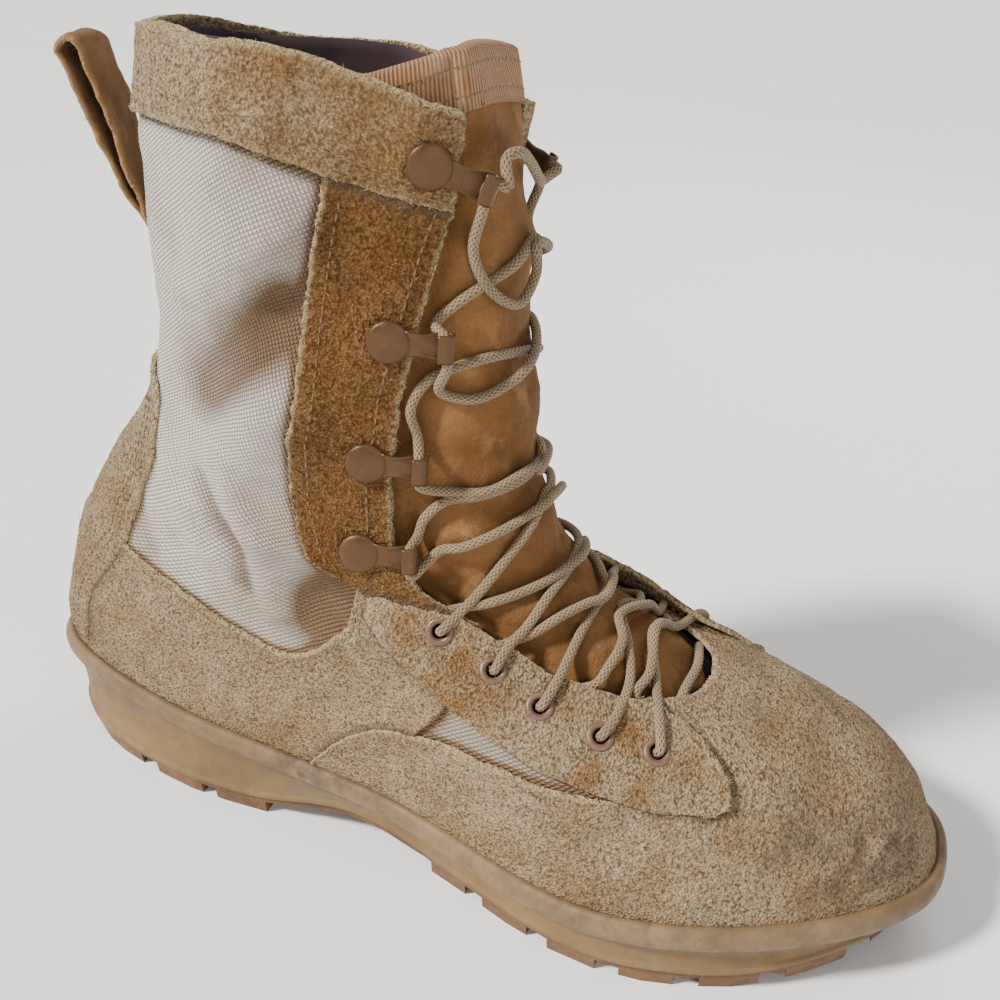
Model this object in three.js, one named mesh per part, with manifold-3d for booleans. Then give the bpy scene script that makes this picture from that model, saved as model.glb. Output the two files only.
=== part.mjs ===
// Combat boot for the right foot, laced, standing on its sole.
// Millimetres. +X points to the toe, +Y to the inner side of the foot, +Z up.
import * as THREE from 'three';
import { mergeVertices } from 'three/addons/utils/BufferGeometryUtils.js';
import Module from 'manifold-3d';

const wasm = await Module();
wasm.setup();

// ---------------------------------------------------------------- driving dimensions

const WALL = 2.4; // leather and lining of the upper together
const GAP = 0.3; // clearance between two pieces that meet
const LAID = 0.7; // clearance under a piece laid over the upper
const OVERLAY = 1.7; // suede laid over the upper
const BACK_FULLNESS = 2.3; // power of the end curve round the heel
const FRONT_FULLNESS = 2.6; // power of the end curve round the toe
const TOE_SWING = 12; // how far the toe turns to the inner side
const SWING_START = 30; // where that turn begins along the foot
const SWING_LENGTH = 120;
const CENTRE_Y = 3.4; // puts the sole's outline midway across the origin
const END_WIDTH = 0.94; // width carried to the toe, as a share of the ball's
const LEAN_REACH = 40;
const SECTION_RISE = 24; // height of one section above the collar

// One row for each girth section, from the sole joint up to the collar.
// back and front are x and z of the section's ends; out and in are half widths
// on the two sides at the heel, the waist and the ball; dip lowers its middle;
// lean drops the inner side at LEAN_REACH from the middle.
const SECTIONS = [
  { back: [-157.5, 39.5], front: [158, 27.5], out: [34.5, 32.5, 56.5], in: [33, 27.5, 46.5], dip: -9, lean: 0 },
  { back: [-155, 57], front: [149.5, 44.5], out: [36.5, 36, 53.5], in: [35.5, 30, 49], dip: -6, lean: 0 },
  { back: [-151, 72], front: [137, 58.5], out: [37.5, 37.5, 51], in: [35.5, 31.5, 48.5], dip: -3, lean: 0 },
  { back: [-146, 85], front: [114.5, 69.5], out: [37, 38, 47.5], in: [35, 33.5, 45], dip: 0, lean: 0 },
  { back: [-140, 98], front: [84, 79], out: [36, 38.5, 44], in: [34, 35, 41], dip: 0, lean: 0 },
  { back: [-132, 112.5], front: [54, 90], out: [35.5, 39.5, 39.5], in: [34.5, 36.5, 37.5], dip: 0, lean: 0 },
  { back: [-121, 129], front: [32, 106], out: [36, 40, 36], in: [35.5, 38, 34.5], dip: 0, lean: 0 },
  { back: [-109, 147.5], front: [20, 128.5], out: [35.5, 41, 34.5], in: [36, 40, 34], dip: 0, lean: 0 },
  { back: [-102.5, 169], front: [13.5, 156], out: [36.5, 42.5, 34.5], in: [36.5, 41.5, 34], dip: 0, lean: 0 },
  { back: [-102.5, 194.5], front: [10, 187], out: [38, 44, 35.5], in: [37.5, 43, 35.5], dip: 0, lean: 0 },
  { back: [-101.5, 224], front: [8, 215.5], out: [39, 44.5, 36], in: [38, 43.5, 36.5], dip: 1, lean: 1 },
  { back: [-97, 255], front: [11, 239], out: [39, 44.5, 37], in: [38, 44, 39], dip: 6, lean: 3 },
];
const COLLAR = SECTIONS.length - 1;
const WIDTH_STATIONS = [0, 0.18, 0.45, 0.72, 1]; // where along a section its widths hold

// Angle from the back at which the upper ends on each side of the throat, by height.
// Below the first row the upper is closed over the toes.
const THROAT_EDGE = [
  { height: 4.12, angle: Math.PI },
  { height: 4.22, angle: 2.82 },
  { height: 4.42, angle: 2.54 },
  { height: 4.7, angle: 2.42 },
  { height: 5.1, angle: 2.39 },
  { height: 5.5, angle: 2.3 },
  { height: 5.9, angle: 2.12 },
  { height: 6.5, angle: 2.05 },
  { height: 7.4, angle: 2.08 },
  { height: 8.3, angle: 2.18 },
  { height: 9.2, angle: 2.36 },
  { height: 10.1, angle: 2.56 },
  { height: 11, angle: 2.57 },
];
// Eyelets from the toe up, then hooks. edgeTurn and edgeHeight are the place on the
// throat's edge beside each; crossing is the height at which the two strands that
// leave it cross over the middle of the tongue. spin turns a hook about its rivet.
const EYELETS = [
  { angle: 2.38, height: 3.3, edgeTurn: 0.4, edgeHeight: 4.2, crossing: 4.6 },
  { angle: 2.27, height: 3.55, edgeTurn: 0.58, edgeHeight: 4.35, crossing: 5.15 },
  { angle: 2.2, height: 4.05, edgeTurn: 0.72, edgeHeight: 4.7, crossing: 5.7 },
  { angle: 2.18, height: 4.65, edgeTurn: 0.8, edgeHeight: 5.3, crossing: 6.2 },
  { angle: 2.1, height: 5.25, edgeTurn: 0.93, edgeHeight: 5.7, crossing: 6.95 },
];
const HOOKS = [
  { angle: 1.9, height: 6.35, edgeTurn: 1.08, edgeHeight: 6.4, crossing: 7.7, spin: 0.02 },
  { angle: 1.98, height: 7.6, edgeTurn: 1.05, edgeHeight: 7.6, crossing: 8.5, spin: -0.02 },
  { angle: 2.16, height: 8.9, edgeTurn: 0.85, edgeHeight: 8.9, crossing: 9.75, spin: -0.02 },
  { angle: 2.38, height: 10.5, edgeTurn: 0.4, edgeHeight: 10.4, crossing: 11, spin: -0.31 },
];

// ---------------------------------------------------------------- the last's surface

// Cubic through a row of values with slopes taken from their neighbours.
function smooth(stations, values, x) {
  const last = stations.length - 1;
  let i = 0;
  while (i < last - 1 && x >= stations[i + 1]) i += 1;
  const slope = (k) => {
    const a = Math.max(k - 1, 0);
    const b = Math.min(k + 1, last);
    return (values[b] - values[a]) / (stations[b] - stations[a]);
  };
  const span = stations[i + 1] - stations[i];
  const u = (x - stations[i]) / span;
  const rise = u * u * (3 - 2 * u);
  const start = u * (1 - u) * (1 - u) * span * slope(i);
  const end = u * u * (u - 1) * span * slope(i + 1);
  return values[i] * (1 - rise) + values[i + 1] * rise + start + end;
}

const ROW_NUMBERS = SECTIONS.map((row, i) => i);

function column(read, height) {
  return smooth(ROW_NUMBERS, SECTIONS.map(read), height);
}

// Point of the upper's outside. angle runs from 0 at the back to +-PI at the front,
// negative on the outer side; height counts the sections.
function surfacePoint(angle, height) {
  const level = Math.min(height, COLLAR);
  const side = angle < 0 ? 'out' : 'in';
  const along = (1 - Math.cos(angle)) / 2;
  const widths = [0, 1, 2].map((k) => column((row) => row[side][k], level));
  const stations = [widths[0], ...widths, widths[2] * END_WIDTH];
  const fullness = along < 0.5 ? BACK_FULLNESS : FRONT_FULLNESS;
  const closing = (1 - Math.abs(2 * along - 1) ** fullness) ** (1 / fullness);
  const half = smoothWidth(stations, along) * closing;
  const backX = column((row) => row.back[0], level);
  const backZ = column((row) => row.back[1], level);
  const x = backX + (column((row) => row.front[0], level) - backX) * along;
  const swing = Math.min(Math.max((x - SWING_START) / SWING_LENGTH, 0), 1);
  const y = Math.sign(angle) * half;
  let z = backZ + (column((row) => row.front[1], level) - backZ) * along;
  z += column((row) => row.dip, level) * Math.sin(Math.PI * along) ** 2;
  z -= (column((row) => row.lean, level) * y) / LEAN_REACH;
  const above = (height - level) * SECTION_RISE;
  return new THREE.Vector3(x, y + TOE_SWING * swing ** 2 + CENTRE_Y, z + above);
}

const PROBE = 0.03; // step in angle or height that finds the surface's slope

// The widths level out at the heel end and at the toe end.
function smoothWidth(values, along) {
  const stations = WIDTH_STATIONS;
  const last = stations.length - 1;
  let i = 0;
  while (i < last - 1 && along >= stations[i + 1]) i += 1;
  const inner = (k) => k > 0 && k < last;
  const slope = (k) => {
    if (!inner(k)) return 0;
    return (values[k + 1] - values[k - 1]) / (stations[k + 1] - stations[k - 1]);
  };
  const span = stations[i + 1] - stations[i];
  const u = (along - stations[i]) / span;
  const rise = u * u * (3 - 2 * u);
  const start = u * (1 - u) * (1 - u) * span * slope(i);
  const end = u * u * (u - 1) * span * slope(i + 1);
  return values[i] * (1 - rise) + values[i + 1] * rise + start + end;
}

function surfaceNormal(angle, height) {
  const step = PROBE;
  const low = Math.max(height - step, 0);
  const up = surfacePoint(angle, height + step).sub(surfacePoint(angle, low));
  const back = surfacePoint(wrap(angle + step), height);
  const round = back.sub(surfacePoint(wrap(angle - step), height));
  return up.cross(round).normalize();
}

function wrap(angle) {
  if (angle > Math.PI) return angle - 2 * Math.PI;
  if (angle < -Math.PI) return angle + 2 * Math.PI;
  return angle;
}

// Point at a distance outside the upper's surface, or inside it when negative.
function offsetPoint(angle, height, distance) {
  return surfacePoint(angle, height).addScaledVector(surfaceNormal(angle, height), distance);
}

// Angle measured from the front instead: negative on the outer side.
function fromFront(turn) {
  return turn < 0 ? -Math.PI - turn : Math.PI - turn;
}

// Value of one column of a table, straight between the rows on either side.
function linear(table, key, at, value) {
  let i = 0;
  while (i < table.length - 2 && value >= table[i + 1][at]) i += 1;
  const a = table[i];
  const b = table[i + 1];
  const share = Math.min(Math.max((value - a[at]) / (b[at] - a[at]), 0), 1);
  return a[key] + (b[key] - a[key]) * share;
}

function throatAngle(height) {
  return linear(THROAT_EDGE, 'angle', 'height', height);
}

// ---------------------------------------------------------------- mesh helpers

function geometry(points, triangles) {
  const shape = new THREE.BufferGeometry();
  const numbers = points.flatMap((p) => p.toArray());
  shape.setAttribute('position', new THREE.Float32BufferAttribute(numbers, 3));
  shape.setIndex(triangles.flat());
  return shape;
}

// Closed wall between an outer sheet and an inner sheet that share their triangles.
// Every free edge of the sheet gets a rim.
function thicken(outer, inner, triangles) {
  const count = outer.length;
  const used = new Set();
  for (const [a, b, c] of triangles) {
    used.add(`${a}_${b}`).add(`${b}_${c}`).add(`${c}_${a}`);
  }
  const faces = [];
  for (const [a, b, c] of triangles) {
    faces.push([a, b, c], [a + count, c + count, b + count]);
    for (const [p, q] of [[a, b], [b, c], [c, a]]) {
      if (used.has(`${q}_${p}`)) continue;
      faces.push([q, p, p + count], [q, p + count, q + count]);
    }
  }
  return tidy(geometry([...outer, ...inner], faces));
}

const SAME_POINT = 1e-4; // points closer than this are one

function tidy(shape) {
  const bare = shape.clone();
  bare.deleteAttribute('normal');
  bare.deleteAttribute('uv');
  return mergeVertices(bare, SAME_POINT);
}

// Triangles of a sheet; index gives the number of the point at a row and column,
// and may give one number twice where the sheet's sides are joined.
function sheetTriangles(rows, columns, index) {
  const faces = [];
  for (let r = 0; r < rows - 1; r += 1) {
    for (let c = 0; c < columns - 1; c += 1) {
      const a = index(r, c);
      const b = index(r, c + 1);
      const d = index(r + 1, c);
      const e = index(r + 1, c + 1);
      if (a !== b && a !== d) faces.push([a, d, b]);
      if (e !== b && e !== d) faces.push([b, d, e]);
    }
  }
  return faces;
}

// A wall whose outside is at(row, column, 0) and inside at(row, column, 1).
function wallSheet(rows, columns, at) {
  const index = (r, c) => r * columns + c;
  const outer = [];
  const inner = [];
  for (let r = 0; r < rows; r += 1) {
    for (let c = 0; c < columns; c += 1) {
      outer.push(at(r / (rows - 1), c / (columns - 1), 0));
      inner.push(at(r / (rows - 1), c / (columns - 1), 1));
    }
  }
  return thicken(outer, inner, sheetTriangles(rows, columns, index));
}

function toSolid(shape) {
  const merged = tidy(shape);
  const vertProperties = new Float32Array(merged.attributes.position.array);
  const triVerts = new Uint32Array(merged.index.array);
  return new wasm.Manifold(new wasm.Mesh({ numProp: 3, vertProperties, triVerts }));
}

function fromSolid(solid) {
  const mesh = solid.getMesh();
  const shape = new THREE.BufferGeometry();
  shape.setAttribute('position', new THREE.Float32BufferAttribute(mesh.vertProperties, 3));
  shape.setIndex(Array.from(mesh.triVerts));
  return shape;
}

function cut(shape, cutters) {
  let solid = toSolid(shape);
  for (const cutter of cutters) solid = solid.subtract(toSolid(cutter));
  return fromSolid(solid);
}

function join(shapes) {
  let solid = toSolid(shapes[0]);
  for (const shape of shapes.slice(1)) solid = solid.add(toSolid(shape));
  return fromSolid(solid);
}

// Turns a shape made along +Z to stand on the upper at one place.
function standOn(shape, angle, height, distance, spin = 0) {
  const normal = surfaceNormal(angle, height);
  const place = new THREE.Matrix4();
  const forward = new THREE.Vector3(0, 0, 1).cross(normal).normalize();
  if (angle > 0) forward.negate();
  forward.applyAxisAngle(normal, angle > 0 ? -spin : spin);
  const across = normal.clone().cross(forward);
  place.makeBasis(forward, across, normal);
  place.setPosition(offsetPoint(angle, height, distance));
  return shape.clone().applyMatrix4(place);
}

// ---------------------------------------------------------------- upper

const UPPER_COLUMNS = 41;
const UPPER_ROWS = [
  0, 0.6, 1.2, 1.9, 2.6, 3.3, 4.12, 4.22, 4.42, 4.7, 5.1, 5.6, 6.1, 6.6, 7.1, 7.6, 8.3, 9.2, 10.1, COLLAR,
];

function buildUpper() {
  const outer = [];
  const inner = [];
  const index = (r, c) => {
    const closed = UPPER_ROWS[r] <= THROAT_EDGE[0].height;
    return r * UPPER_COLUMNS + (closed && c === UPPER_COLUMNS - 1 ? 0 : c);
  };
  for (const height of UPPER_ROWS) {
    for (let c = 0; c < UPPER_COLUMNS; c += 1) {
      const angle = (-1 + (2 * c) / (UPPER_COLUMNS - 1)) * throatAngle(height);
      const outside = surfacePoint(angle, height);
      const inside = offsetPoint(angle, height, -WALL);
      if (height === 0) inside.z = outside.z;
      outer.push(outside);
      inner.push(inside);
    }
  }
  return thicken(outer, inner, sheetTriangles(UPPER_ROWS.length, UPPER_COLUMNS, index));
}

// ---------------------------------------------------------------- sole unit

const SOLE_POINTS = 60;
const JOINT_GAP = 0.4; // between the upper and the bead beside it
const SEAT_GAP = 0.6; // between the upper's lower edge and its seat
const SOLE_END_X = 158;

// How far the foot of the sole's wall stands outside the joint line, along the sole.
const FOOT_OUTLINE = [
  { along: 0, outset: -2.5 },
  { along: 0.08, outset: 1.5 },
  { along: 0.22, outset: 3 },
  { along: 0.36, outset: 1 },
  { along: 0.5, outset: -1 },
  { along: 0.62, outset: 0 },
  { along: 0.85, outset: 0 },
  { along: 0.94, outset: -1.5 },
  { along: 1, outset: -4 },
];
const HEEL_BEVEL_X = -138; // behind this the heel is bevelled
const HEEL_BEVEL_SLOPE = 0.15;
const TOE_SPRING_X = 96; // ahead of this the sole curves up
const TOE_SPRING = 9.5;
const SPRING_POWER = 1.7;
const LUG_DEPTH = 5;
const OUTSOLE_PLATE = 2.6;
const ARCH_RISE = 5.5;
const ARCH_MARGIN = 8; // the arch starts this far inside the lugs on either side
const HEEL_FRONT_X = -62;
const BALL_BACK_X = 3;

// Height of the tread above the floor: level under heel and ball, rising to the toe.
function groundHeight(x) {
  const toe = Math.max((x - TOE_SPRING_X) / (SOLE_END_X - TOE_SPRING_X), 0);
  const heel = Math.max(HEEL_BEVEL_X - x, 0);
  return TOE_SPRING * toe ** SPRING_POWER + HEEL_BEVEL_SLOPE * heel;
}

// Underside of the plate that carries the lugs, arched between heel and ball.
function plateHeight(x) {
  const length = BALL_BACK_X - HEEL_FRONT_X + 2 * ARCH_MARGIN;
  const share = Math.min(Math.max((x - HEEL_FRONT_X + ARCH_MARGIN) / length, 0), 1);
  return groundHeight(x) + LUG_DEPTH + ARCH_RISE * Math.sin(Math.PI * share) ** 2;
}

// Joint line moved out in plan by a distance.
function soleOutline(angle, outset) {
  const point = surfacePoint(angle, 0);
  const along = surfacePoint(wrap(angle + PROBE), 0).sub(surfacePoint(wrap(angle - PROBE), 0));
  along.z = 0;
  along.normalize();
  return new THREE.Vector3(point.x - along.y * outset, point.y + along.x * outset, point.z);
}

// Closed solid through rings that run round the sole; both ends are bridged straight across.
function soleLoft(rings) {
  const count = SOLE_POINTS;
  const points = [];
  for (const ring of rings) {
    for (let i = 0; i < count; i += 1) {
      const angle = -Math.PI + (2 * Math.PI * i) / count;
      points.push(ring(wrapFront(angle), (1 - Math.cos(angle)) / 2));
    }
  }
  const faces = [];
  for (let r = 0; r < rings.length - 1; r += 1) {
    for (let i = 0; i < count; i += 1) {
      const j = (i + 1) % count;
      const a = r * count;
      const b = a + count;
      faces.push([a + i, a + j, b + i], [a + j, b + j, b + i]);
    }
  }
  const bridge = (base, flip) => {
    for (let i = 0; i < count / 2; i += 1) {
      const [a, b, c, d] = [i, i + 1, (count - i - 1) % count, (count - i) % count].map((k) => base + k);
      for (const face of [[a, b, c], [a, c, d]]) {
        if (new Set(face).size === 3) faces.push(flip ? face.slice().reverse() : face);
      }
    }
  };
  bridge(0, true);
  bridge((rings.length - 1) * count, false);
  return tidy(geometry(points, faces));
}

// Keeps the foremost point just on the outer side, where the outline is defined.
function wrapFront(angle) {
  return Math.max(angle, -Math.PI + 1e-6);
}

function footOutset(along) {
  return linear(FOOT_OUTLINE, 'outset', 'along', along);
}

// The midsole's wall, from the seat of the upper over the rounded bead to its foot.
// Above the foot, rise is measured from the joint line.
const BEAD = [
  { outset: JOINT_GAP, rise: -SEAT_GAP },
  { outset: JOINT_GAP + 0.5, rise: 1 },
  { outset: 2.2, rise: 1.8 },
  { outset: 4, rise: 0.4 },
  { outset: 4.4, rise: -2.8 },
  { outset: 3.5, rise: -5.4 },
];
const TOE_WALL = 0.35; // how much taller the wall below the bead is at the toe
const LIP = 1.4; // height of the thin lip above the outsole
const LIP_OUTSET = 1.6;
const LIP_COVE = { inset: 0.5, rise: 1.2 }; // where the wall meets the lip

function buildMidsole() {
  const rings = BEAD.map(({ outset, rise }) => (angle, along) => {
    const point = soleOutline(angle, outset);
    point.z += rise < -SEAT_GAP ? rise * (1 + TOE_WALL * along) : rise;
    return point;
  });
  const foot = (extra, lift) => (angle, along) => {
    const point = soleOutline(angle, footOutset(along) + extra);
    point.z = plateHeight(point.x) + OUTSOLE_PLATE + GAP + lift;
    return point;
  };
  rings.push(foot(LIP_OUTSET - LIP_COVE.inset, LIP + LIP_COVE.rise));
  rings.push(foot(LIP_OUTSET, LIP));
  rings.push(foot(LIP_OUTSET, 0));
  return soleLoft(rings);
}

// Lugs between grooves that cross the whole tread.
const HEEL_LUGS = [
  { start: -109, end: -88 },
  { start: -82, end: -62 },
];
const BALL_LUGS = [
  { start: 3, end: 17 },
  { start: 24, end: 41 },
  { start: 48.5, end: 64.5 },
  { start: 72, end: 88.5 },
  { start: 96, end: 113 },
  { start: 120.5, end: 137 },
];
const HEEL_END_LUG = { start: -150, end: -117 };
const TOE_END_LUG = { start: 144, end: SOLE_END_X };
const CHANNEL = 5; // width of the lengthwise grooves, half of it under the heel
const BALL_CHANNELS = [-24, 20]; // y where each forefoot channel starts
const CHANNELLED = 5; // forefoot lugs that the channels run through
const TREAD_HALF = 90; // beyond the tread on either side
const BELOW = 3; // how far a cut starts under the floor
const RUN_OUT = 1; // how far a channel runs past its lug
const TREAD_INSET = 0.6; // of the tread from the sole's foot
const ROOT_OUTSET = 0.4;

function groove(x0, x1, y0, y1, top) {
  const depth = top + BELOW;
  const box = new THREE.BoxGeometry(x1 - x0, y1 - y0, depth);
  return box.translate((x0 + x1) / 2, (y0 + y1) / 2, top - depth / 2);
}

// Grooves across the tread between one lug and the next.
function crossGrooves(lugs) {
  const cutters = [];
  for (let i = 0; i < lugs.length - 1; i += 1) {
    const x0 = lugs[i].end;
    const x1 = lugs[i + 1].start;
    cutters.push(groove(x0, x1, -TREAD_HALF, TREAD_HALF, plateHeight((x0 + x1) / 2)));
  }
  return cutters;
}

// Groove along the boot through one lug.
function lengthGroove({ start, end }, y0, y1) {
  return groove(start - RUN_OUT, end + RUN_OUT, y0, y1, plateHeight((start + end) / 2));
}

const ARCH_STEPS = 10;

// The hollow under the waist, with the plate's own arch for its roof.
function waistHollow() {
  const shape = new THREE.Shape();
  shape.moveTo(HEEL_FRONT_X, -BELOW);
  for (let i = 0; i <= ARCH_STEPS; i += 1) {
    const x = HEEL_FRONT_X + ((BALL_BACK_X - HEEL_FRONT_X) * i) / ARCH_STEPS;
    shape.lineTo(x, plateHeight(x));
  }
  shape.lineTo(BALL_BACK_X, -BELOW);
  shape.closePath();
  const block = new THREE.ExtrudeGeometry(shape, { depth: 2 * TREAD_HALF, bevelEnabled: false });
  return block.rotateX(Math.PI / 2).translate(0, TREAD_HALF, 0);
}

function buildOutsole() {
  const ring = (outset, heightAt) => (angle, along) => {
    const point = soleOutline(angle, footOutset(along) + outset);
    point.z = heightAt(point.x);
    return point;
  };
  const top = ring(ROOT_OUTSET, (x) => plateHeight(x) + OUTSOLE_PLATE);
  const body = soleLoft([top, ring(ROOT_OUTSET, plateHeight), ring(-TREAD_INSET, groundHeight)]);
  const cutters = [waistHollow()];
  cutters.push(...crossGrooves([HEEL_END_LUG, ...HEEL_LUGS]), ...crossGrooves([...BALL_LUGS, TOE_END_LUG]));
  for (const lug of HEEL_LUGS) cutters.push(lengthGroove(lug, CENTRE_Y - CHANNEL, CENTRE_Y + CHANNEL));
  for (const lug of BALL_LUGS.slice(0, CHANNELLED)) {
    for (const y of BALL_CHANNELS) cutters.push(lengthGroove(lug, y, y + CHANNEL));
  }
  return cut(body, cutters);
}

// The footbed's edge, from its top down: inset from the joint line and height over it.
const INSOLE = [
  { inset: WALL + 4.4, rise: 3.6 },
  { inset: WALL + 2, rise: 2.2 },
  { inset: WALL + 1.4, rise: GAP },
];

function buildInsole() {
  return soleLoft(INSOLE.map(({ inset, rise }) => (angle) => {
    const point = soleOutline(angle, -inset);
    point.z += rise;
    return point;
  }));
}

// ---------------------------------------------------------------- tongue

const TONGUE = { thickness: 4, bottom: 3.55, top: 11.75, rows: 14, columns: 9 };
const TONGUE_TUCK = 0.26; // angle that the tongue reaches in under each facing
const TONGUE_BULGE = 6; // rise of its middle out of the throat
const BULGE_WIDTH = 0.92; // share of the throat's width that the bulge fills
const BULGE_START = { height: 4.2, span: 1.2 }; // where the bulge begins and over what height
const NARROWEST_HEIGHT = 4.5; // the tongue keeps this height's width below it
const TOP_DROP = { height: 10.2, share: 0.55 }; // where its edges start to fall away, and how fast
// The wings reach further round under the collar: more angle, from one height over a span.
const WING = { height: 9.2, span: 2.5, angle: 0.34 };
// The top leans back into the shaft: how far in the middle, what share of it at the
// wings, and the turn over which it fades to that.
const TONGUE_LEAN = { height: 9.8, span: 1.95, back: 14, wings: 0.25, turn: 0.45 };

// How far back the tongue leans at a turn from the front and a height.
function leanBack(turn, height) {
  const rise = Math.max(height - TONGUE_LEAN.height, 0) / TONGUE_LEAN.span;
  const middle = Math.exp(-((turn / TONGUE_LEAN.turn) ** 2));
  return TONGUE_LEAN.back * rise * (TONGUE_LEAN.wings + (1 - TONGUE_LEAN.wings) * middle);
}

function buildTongue() {
  return wallSheet(TONGUE.rows, TONGUE.columns, (up, across, layer) => {
    const height = TONGUE.bottom + (TONGUE.top - TONGUE.bottom) * up;
    const side = 1 - 2 * across;
    const level = Math.max(Math.min(height, COLLAR), NARROWEST_HEIGHT);
    const open = Math.PI - throatAngle(level);
    const wing = WING.angle * Math.min(Math.max((height - WING.height) / WING.span, 0), 1);
    const turn = side * (open + TONGUE_TUCK + wing);
    const clear = Math.max(1 - (Math.abs(turn) / (open * BULGE_WIDTH)) ** 4, 0);
    const rise = Math.min(Math.max((height - BULGE_START.height) / BULGE_START.span, 0), 1);
    const under = -WALL - 6 * GAP;
    const drop = Math.max(height - TOP_DROP.height, 0) * TOP_DROP.share * side ** 2;
    const distance = under + TONGUE_BULGE * clear * rise - layer * TONGUE.thickness;
    const point = offsetPoint(fromFront(turn), height - drop, distance);
    point.x -= leanBack(turn, height - drop);
    return point;
  });
}

// ---------------------------------------------------------------- laid-on leather

// Leather laid over the upper, on a grid of rows and columns.
function patch(rows, columns, place) {
  return wallSheet(rows, columns, (up, across, layer) => {
    const { angle, height } = place(up, across);
    return offsetPoint(angle, height, LAID + (1 - layer) * OVERLAY);
  });
}

const BACKSTAY = [
  { height: 0.3, angle: 0.45 },
  { height: 1.9, angle: 0.52 },
  { height: 4.1, angle: 0.72 },
  { height: 6.3, angle: 0.76 },
  { height: 7, angle: 0.68 },
  { height: 7.6, angle: 0.42 },
];
const BACKSTAY_GRID = [12, 13]; // rows and columns
const BACKSTAY_CROWDING = 1.5; // brings the rows closer together towards its narrowing top

function buildBackstay() {
  const first = BACKSTAY[0].height;
  const last = BACKSTAY[BACKSTAY.length - 1].height;
  return patch(...BACKSTAY_GRID, (up, across) => {
    const height = last - (last - first) * (1 - up) ** BACKSTAY_CROWDING;
    return { height, angle: (2 * across - 1) * linear(BACKSTAY, 'angle', 'height', height) };
  });
}

const BAND_HEIGHT = [
  { angle: 0, height: 10.3 },
  { angle: 1.4, height: 10.36 },
  { angle: 2.57, height: 10.08 },
];

const BAND_GRID = [3, 31];

function buildCollarBand() {
  return patch(...BAND_GRID, (up, across) => {
    const side = 2 * across - 1;
    const low = linear(BAND_HEIGHT, 'height', 'angle', Math.abs(side) * throatAngle(COLLAR));
    const height = low + (COLLAR - low) * up;
    return { height, angle: side * throatAngle(height) };
  });
}

const HOOK_STAY = [
  { height: 5.75, rear: 1.86 },
  { height: 6.2, rear: 1.66 },
  { height: 6.9, rear: 1.61 },
  { height: 7.7, rear: 1.62 },
  { height: 8.9, rear: 1.74 },
  { height: 10, rear: 1.86 },
];

const HOOK_STAY_GRID = [13, 6];

function buildHookStay(side) {
  const first = HOOK_STAY[0].height;
  const last = HOOK_STAY[HOOK_STAY.length - 1].height;
  return patch(...HOOK_STAY_GRID, (up, across) => {
    const height = first + (last - first) * up;
    const rear = linear(HOOK_STAY, 'rear', 'height', height);
    const share = side < 0 ? 1 - across : across;
    return { height, angle: side * (rear + (throatAngle(height) - rear) * share) };
  });
}

const EYELET_STAY = [
  { height: 2.1, rear: 2.2, front: 2.34 },
  { height: 2.6, rear: 1.95, front: 2.42 },
  { height: 3.3, rear: 1.83, front: 2.55 },
  { height: 3.8, rear: 1.8, front: 2.66 },
  { height: 4.1, rear: 1.8, front: 2.66 },
  { height: 4.35, rear: 1.8, front: 2.54 },
  { height: 4.7, rear: 1.8, front: 2.41 },
  { height: 5.1, rear: 1.8, front: 2.38 },
  { height: 5.55, rear: 1.86, front: 2.27 },
];

const EYELET_STAY_GRID = [9, 5];

function buildEyeletStay(side) {
  const first = EYELET_STAY[0].height;
  const last = EYELET_STAY[EYELET_STAY.length - 1].height;
  return patch(...EYELET_STAY_GRID, (up, across) => {
    const height = first + (last - first) * up;
    const rear = linear(EYELET_STAY, 'rear', 'height', height);
    const front = linear(EYELET_STAY, 'front', 'height', height);
    const share = side < 0 ? 1 - across : across;
    return { height, angle: side * (rear + (front - rear) * share) };
  });
}

// ---------------------------------------------------------------- metal

const EYELET_HOLE = 3.3; // radius punched through the leather
const EYELET = { barrel: 3, bore: 2.2, flange: 4.3, lift: 1.1 };
const ROLL = 0.4; // rounding of the ring's edge
const METAL_SIDES = 8;
const PUNCH_LENGTH = 14;

function punch(angle, height) {
  const pin = new THREE.CylinderGeometry(EYELET_HOLE, EYELET_HOLE, PUNCH_LENGTH, METAL_SIDES);
  return standOn(pin.rotateX(Math.PI / 2), angle, height, 0);
}

// Rolled ring on the leather with its barrel down through it.
function buildEyelet(angle, height) {
  const top = OVERLAY + LAID;
  const profile = [
    [EYELET.bore, -WALL],
    [EYELET.barrel, -WALL],
    [EYELET.barrel, top + GAP],
    [EYELET.flange, top + GAP],
    [EYELET.barrel + ROLL, top + EYELET.lift + GAP],
    [EYELET.bore, top + EYELET.lift - ROLL],
    [EYELET.bore, -WALL],
  ].map(([r, z]) => new THREE.Vector2(r, z));
  const ring = new THREE.LatheGeometry(profile, METAL_SIDES).rotateX(Math.PI / 2);
  return standOn(ring, angle, height, 0);
}

// disc is a radius; head, edge and dome shape the rivet; reach, width and sheet are
// the strap's; rise and curl are those of its turned-back end.
const HOOK = {
  disc: 6, head: 1.5, edge: 0.7, chamfer: 1.6, dome: 0.2,
  reach: 17.5, width: 7.5, sheet: 0.9, rise: 4.4, curl: 4,
};
const HOOK_SEAT = OVERLAY + LAID + GAP;

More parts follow.
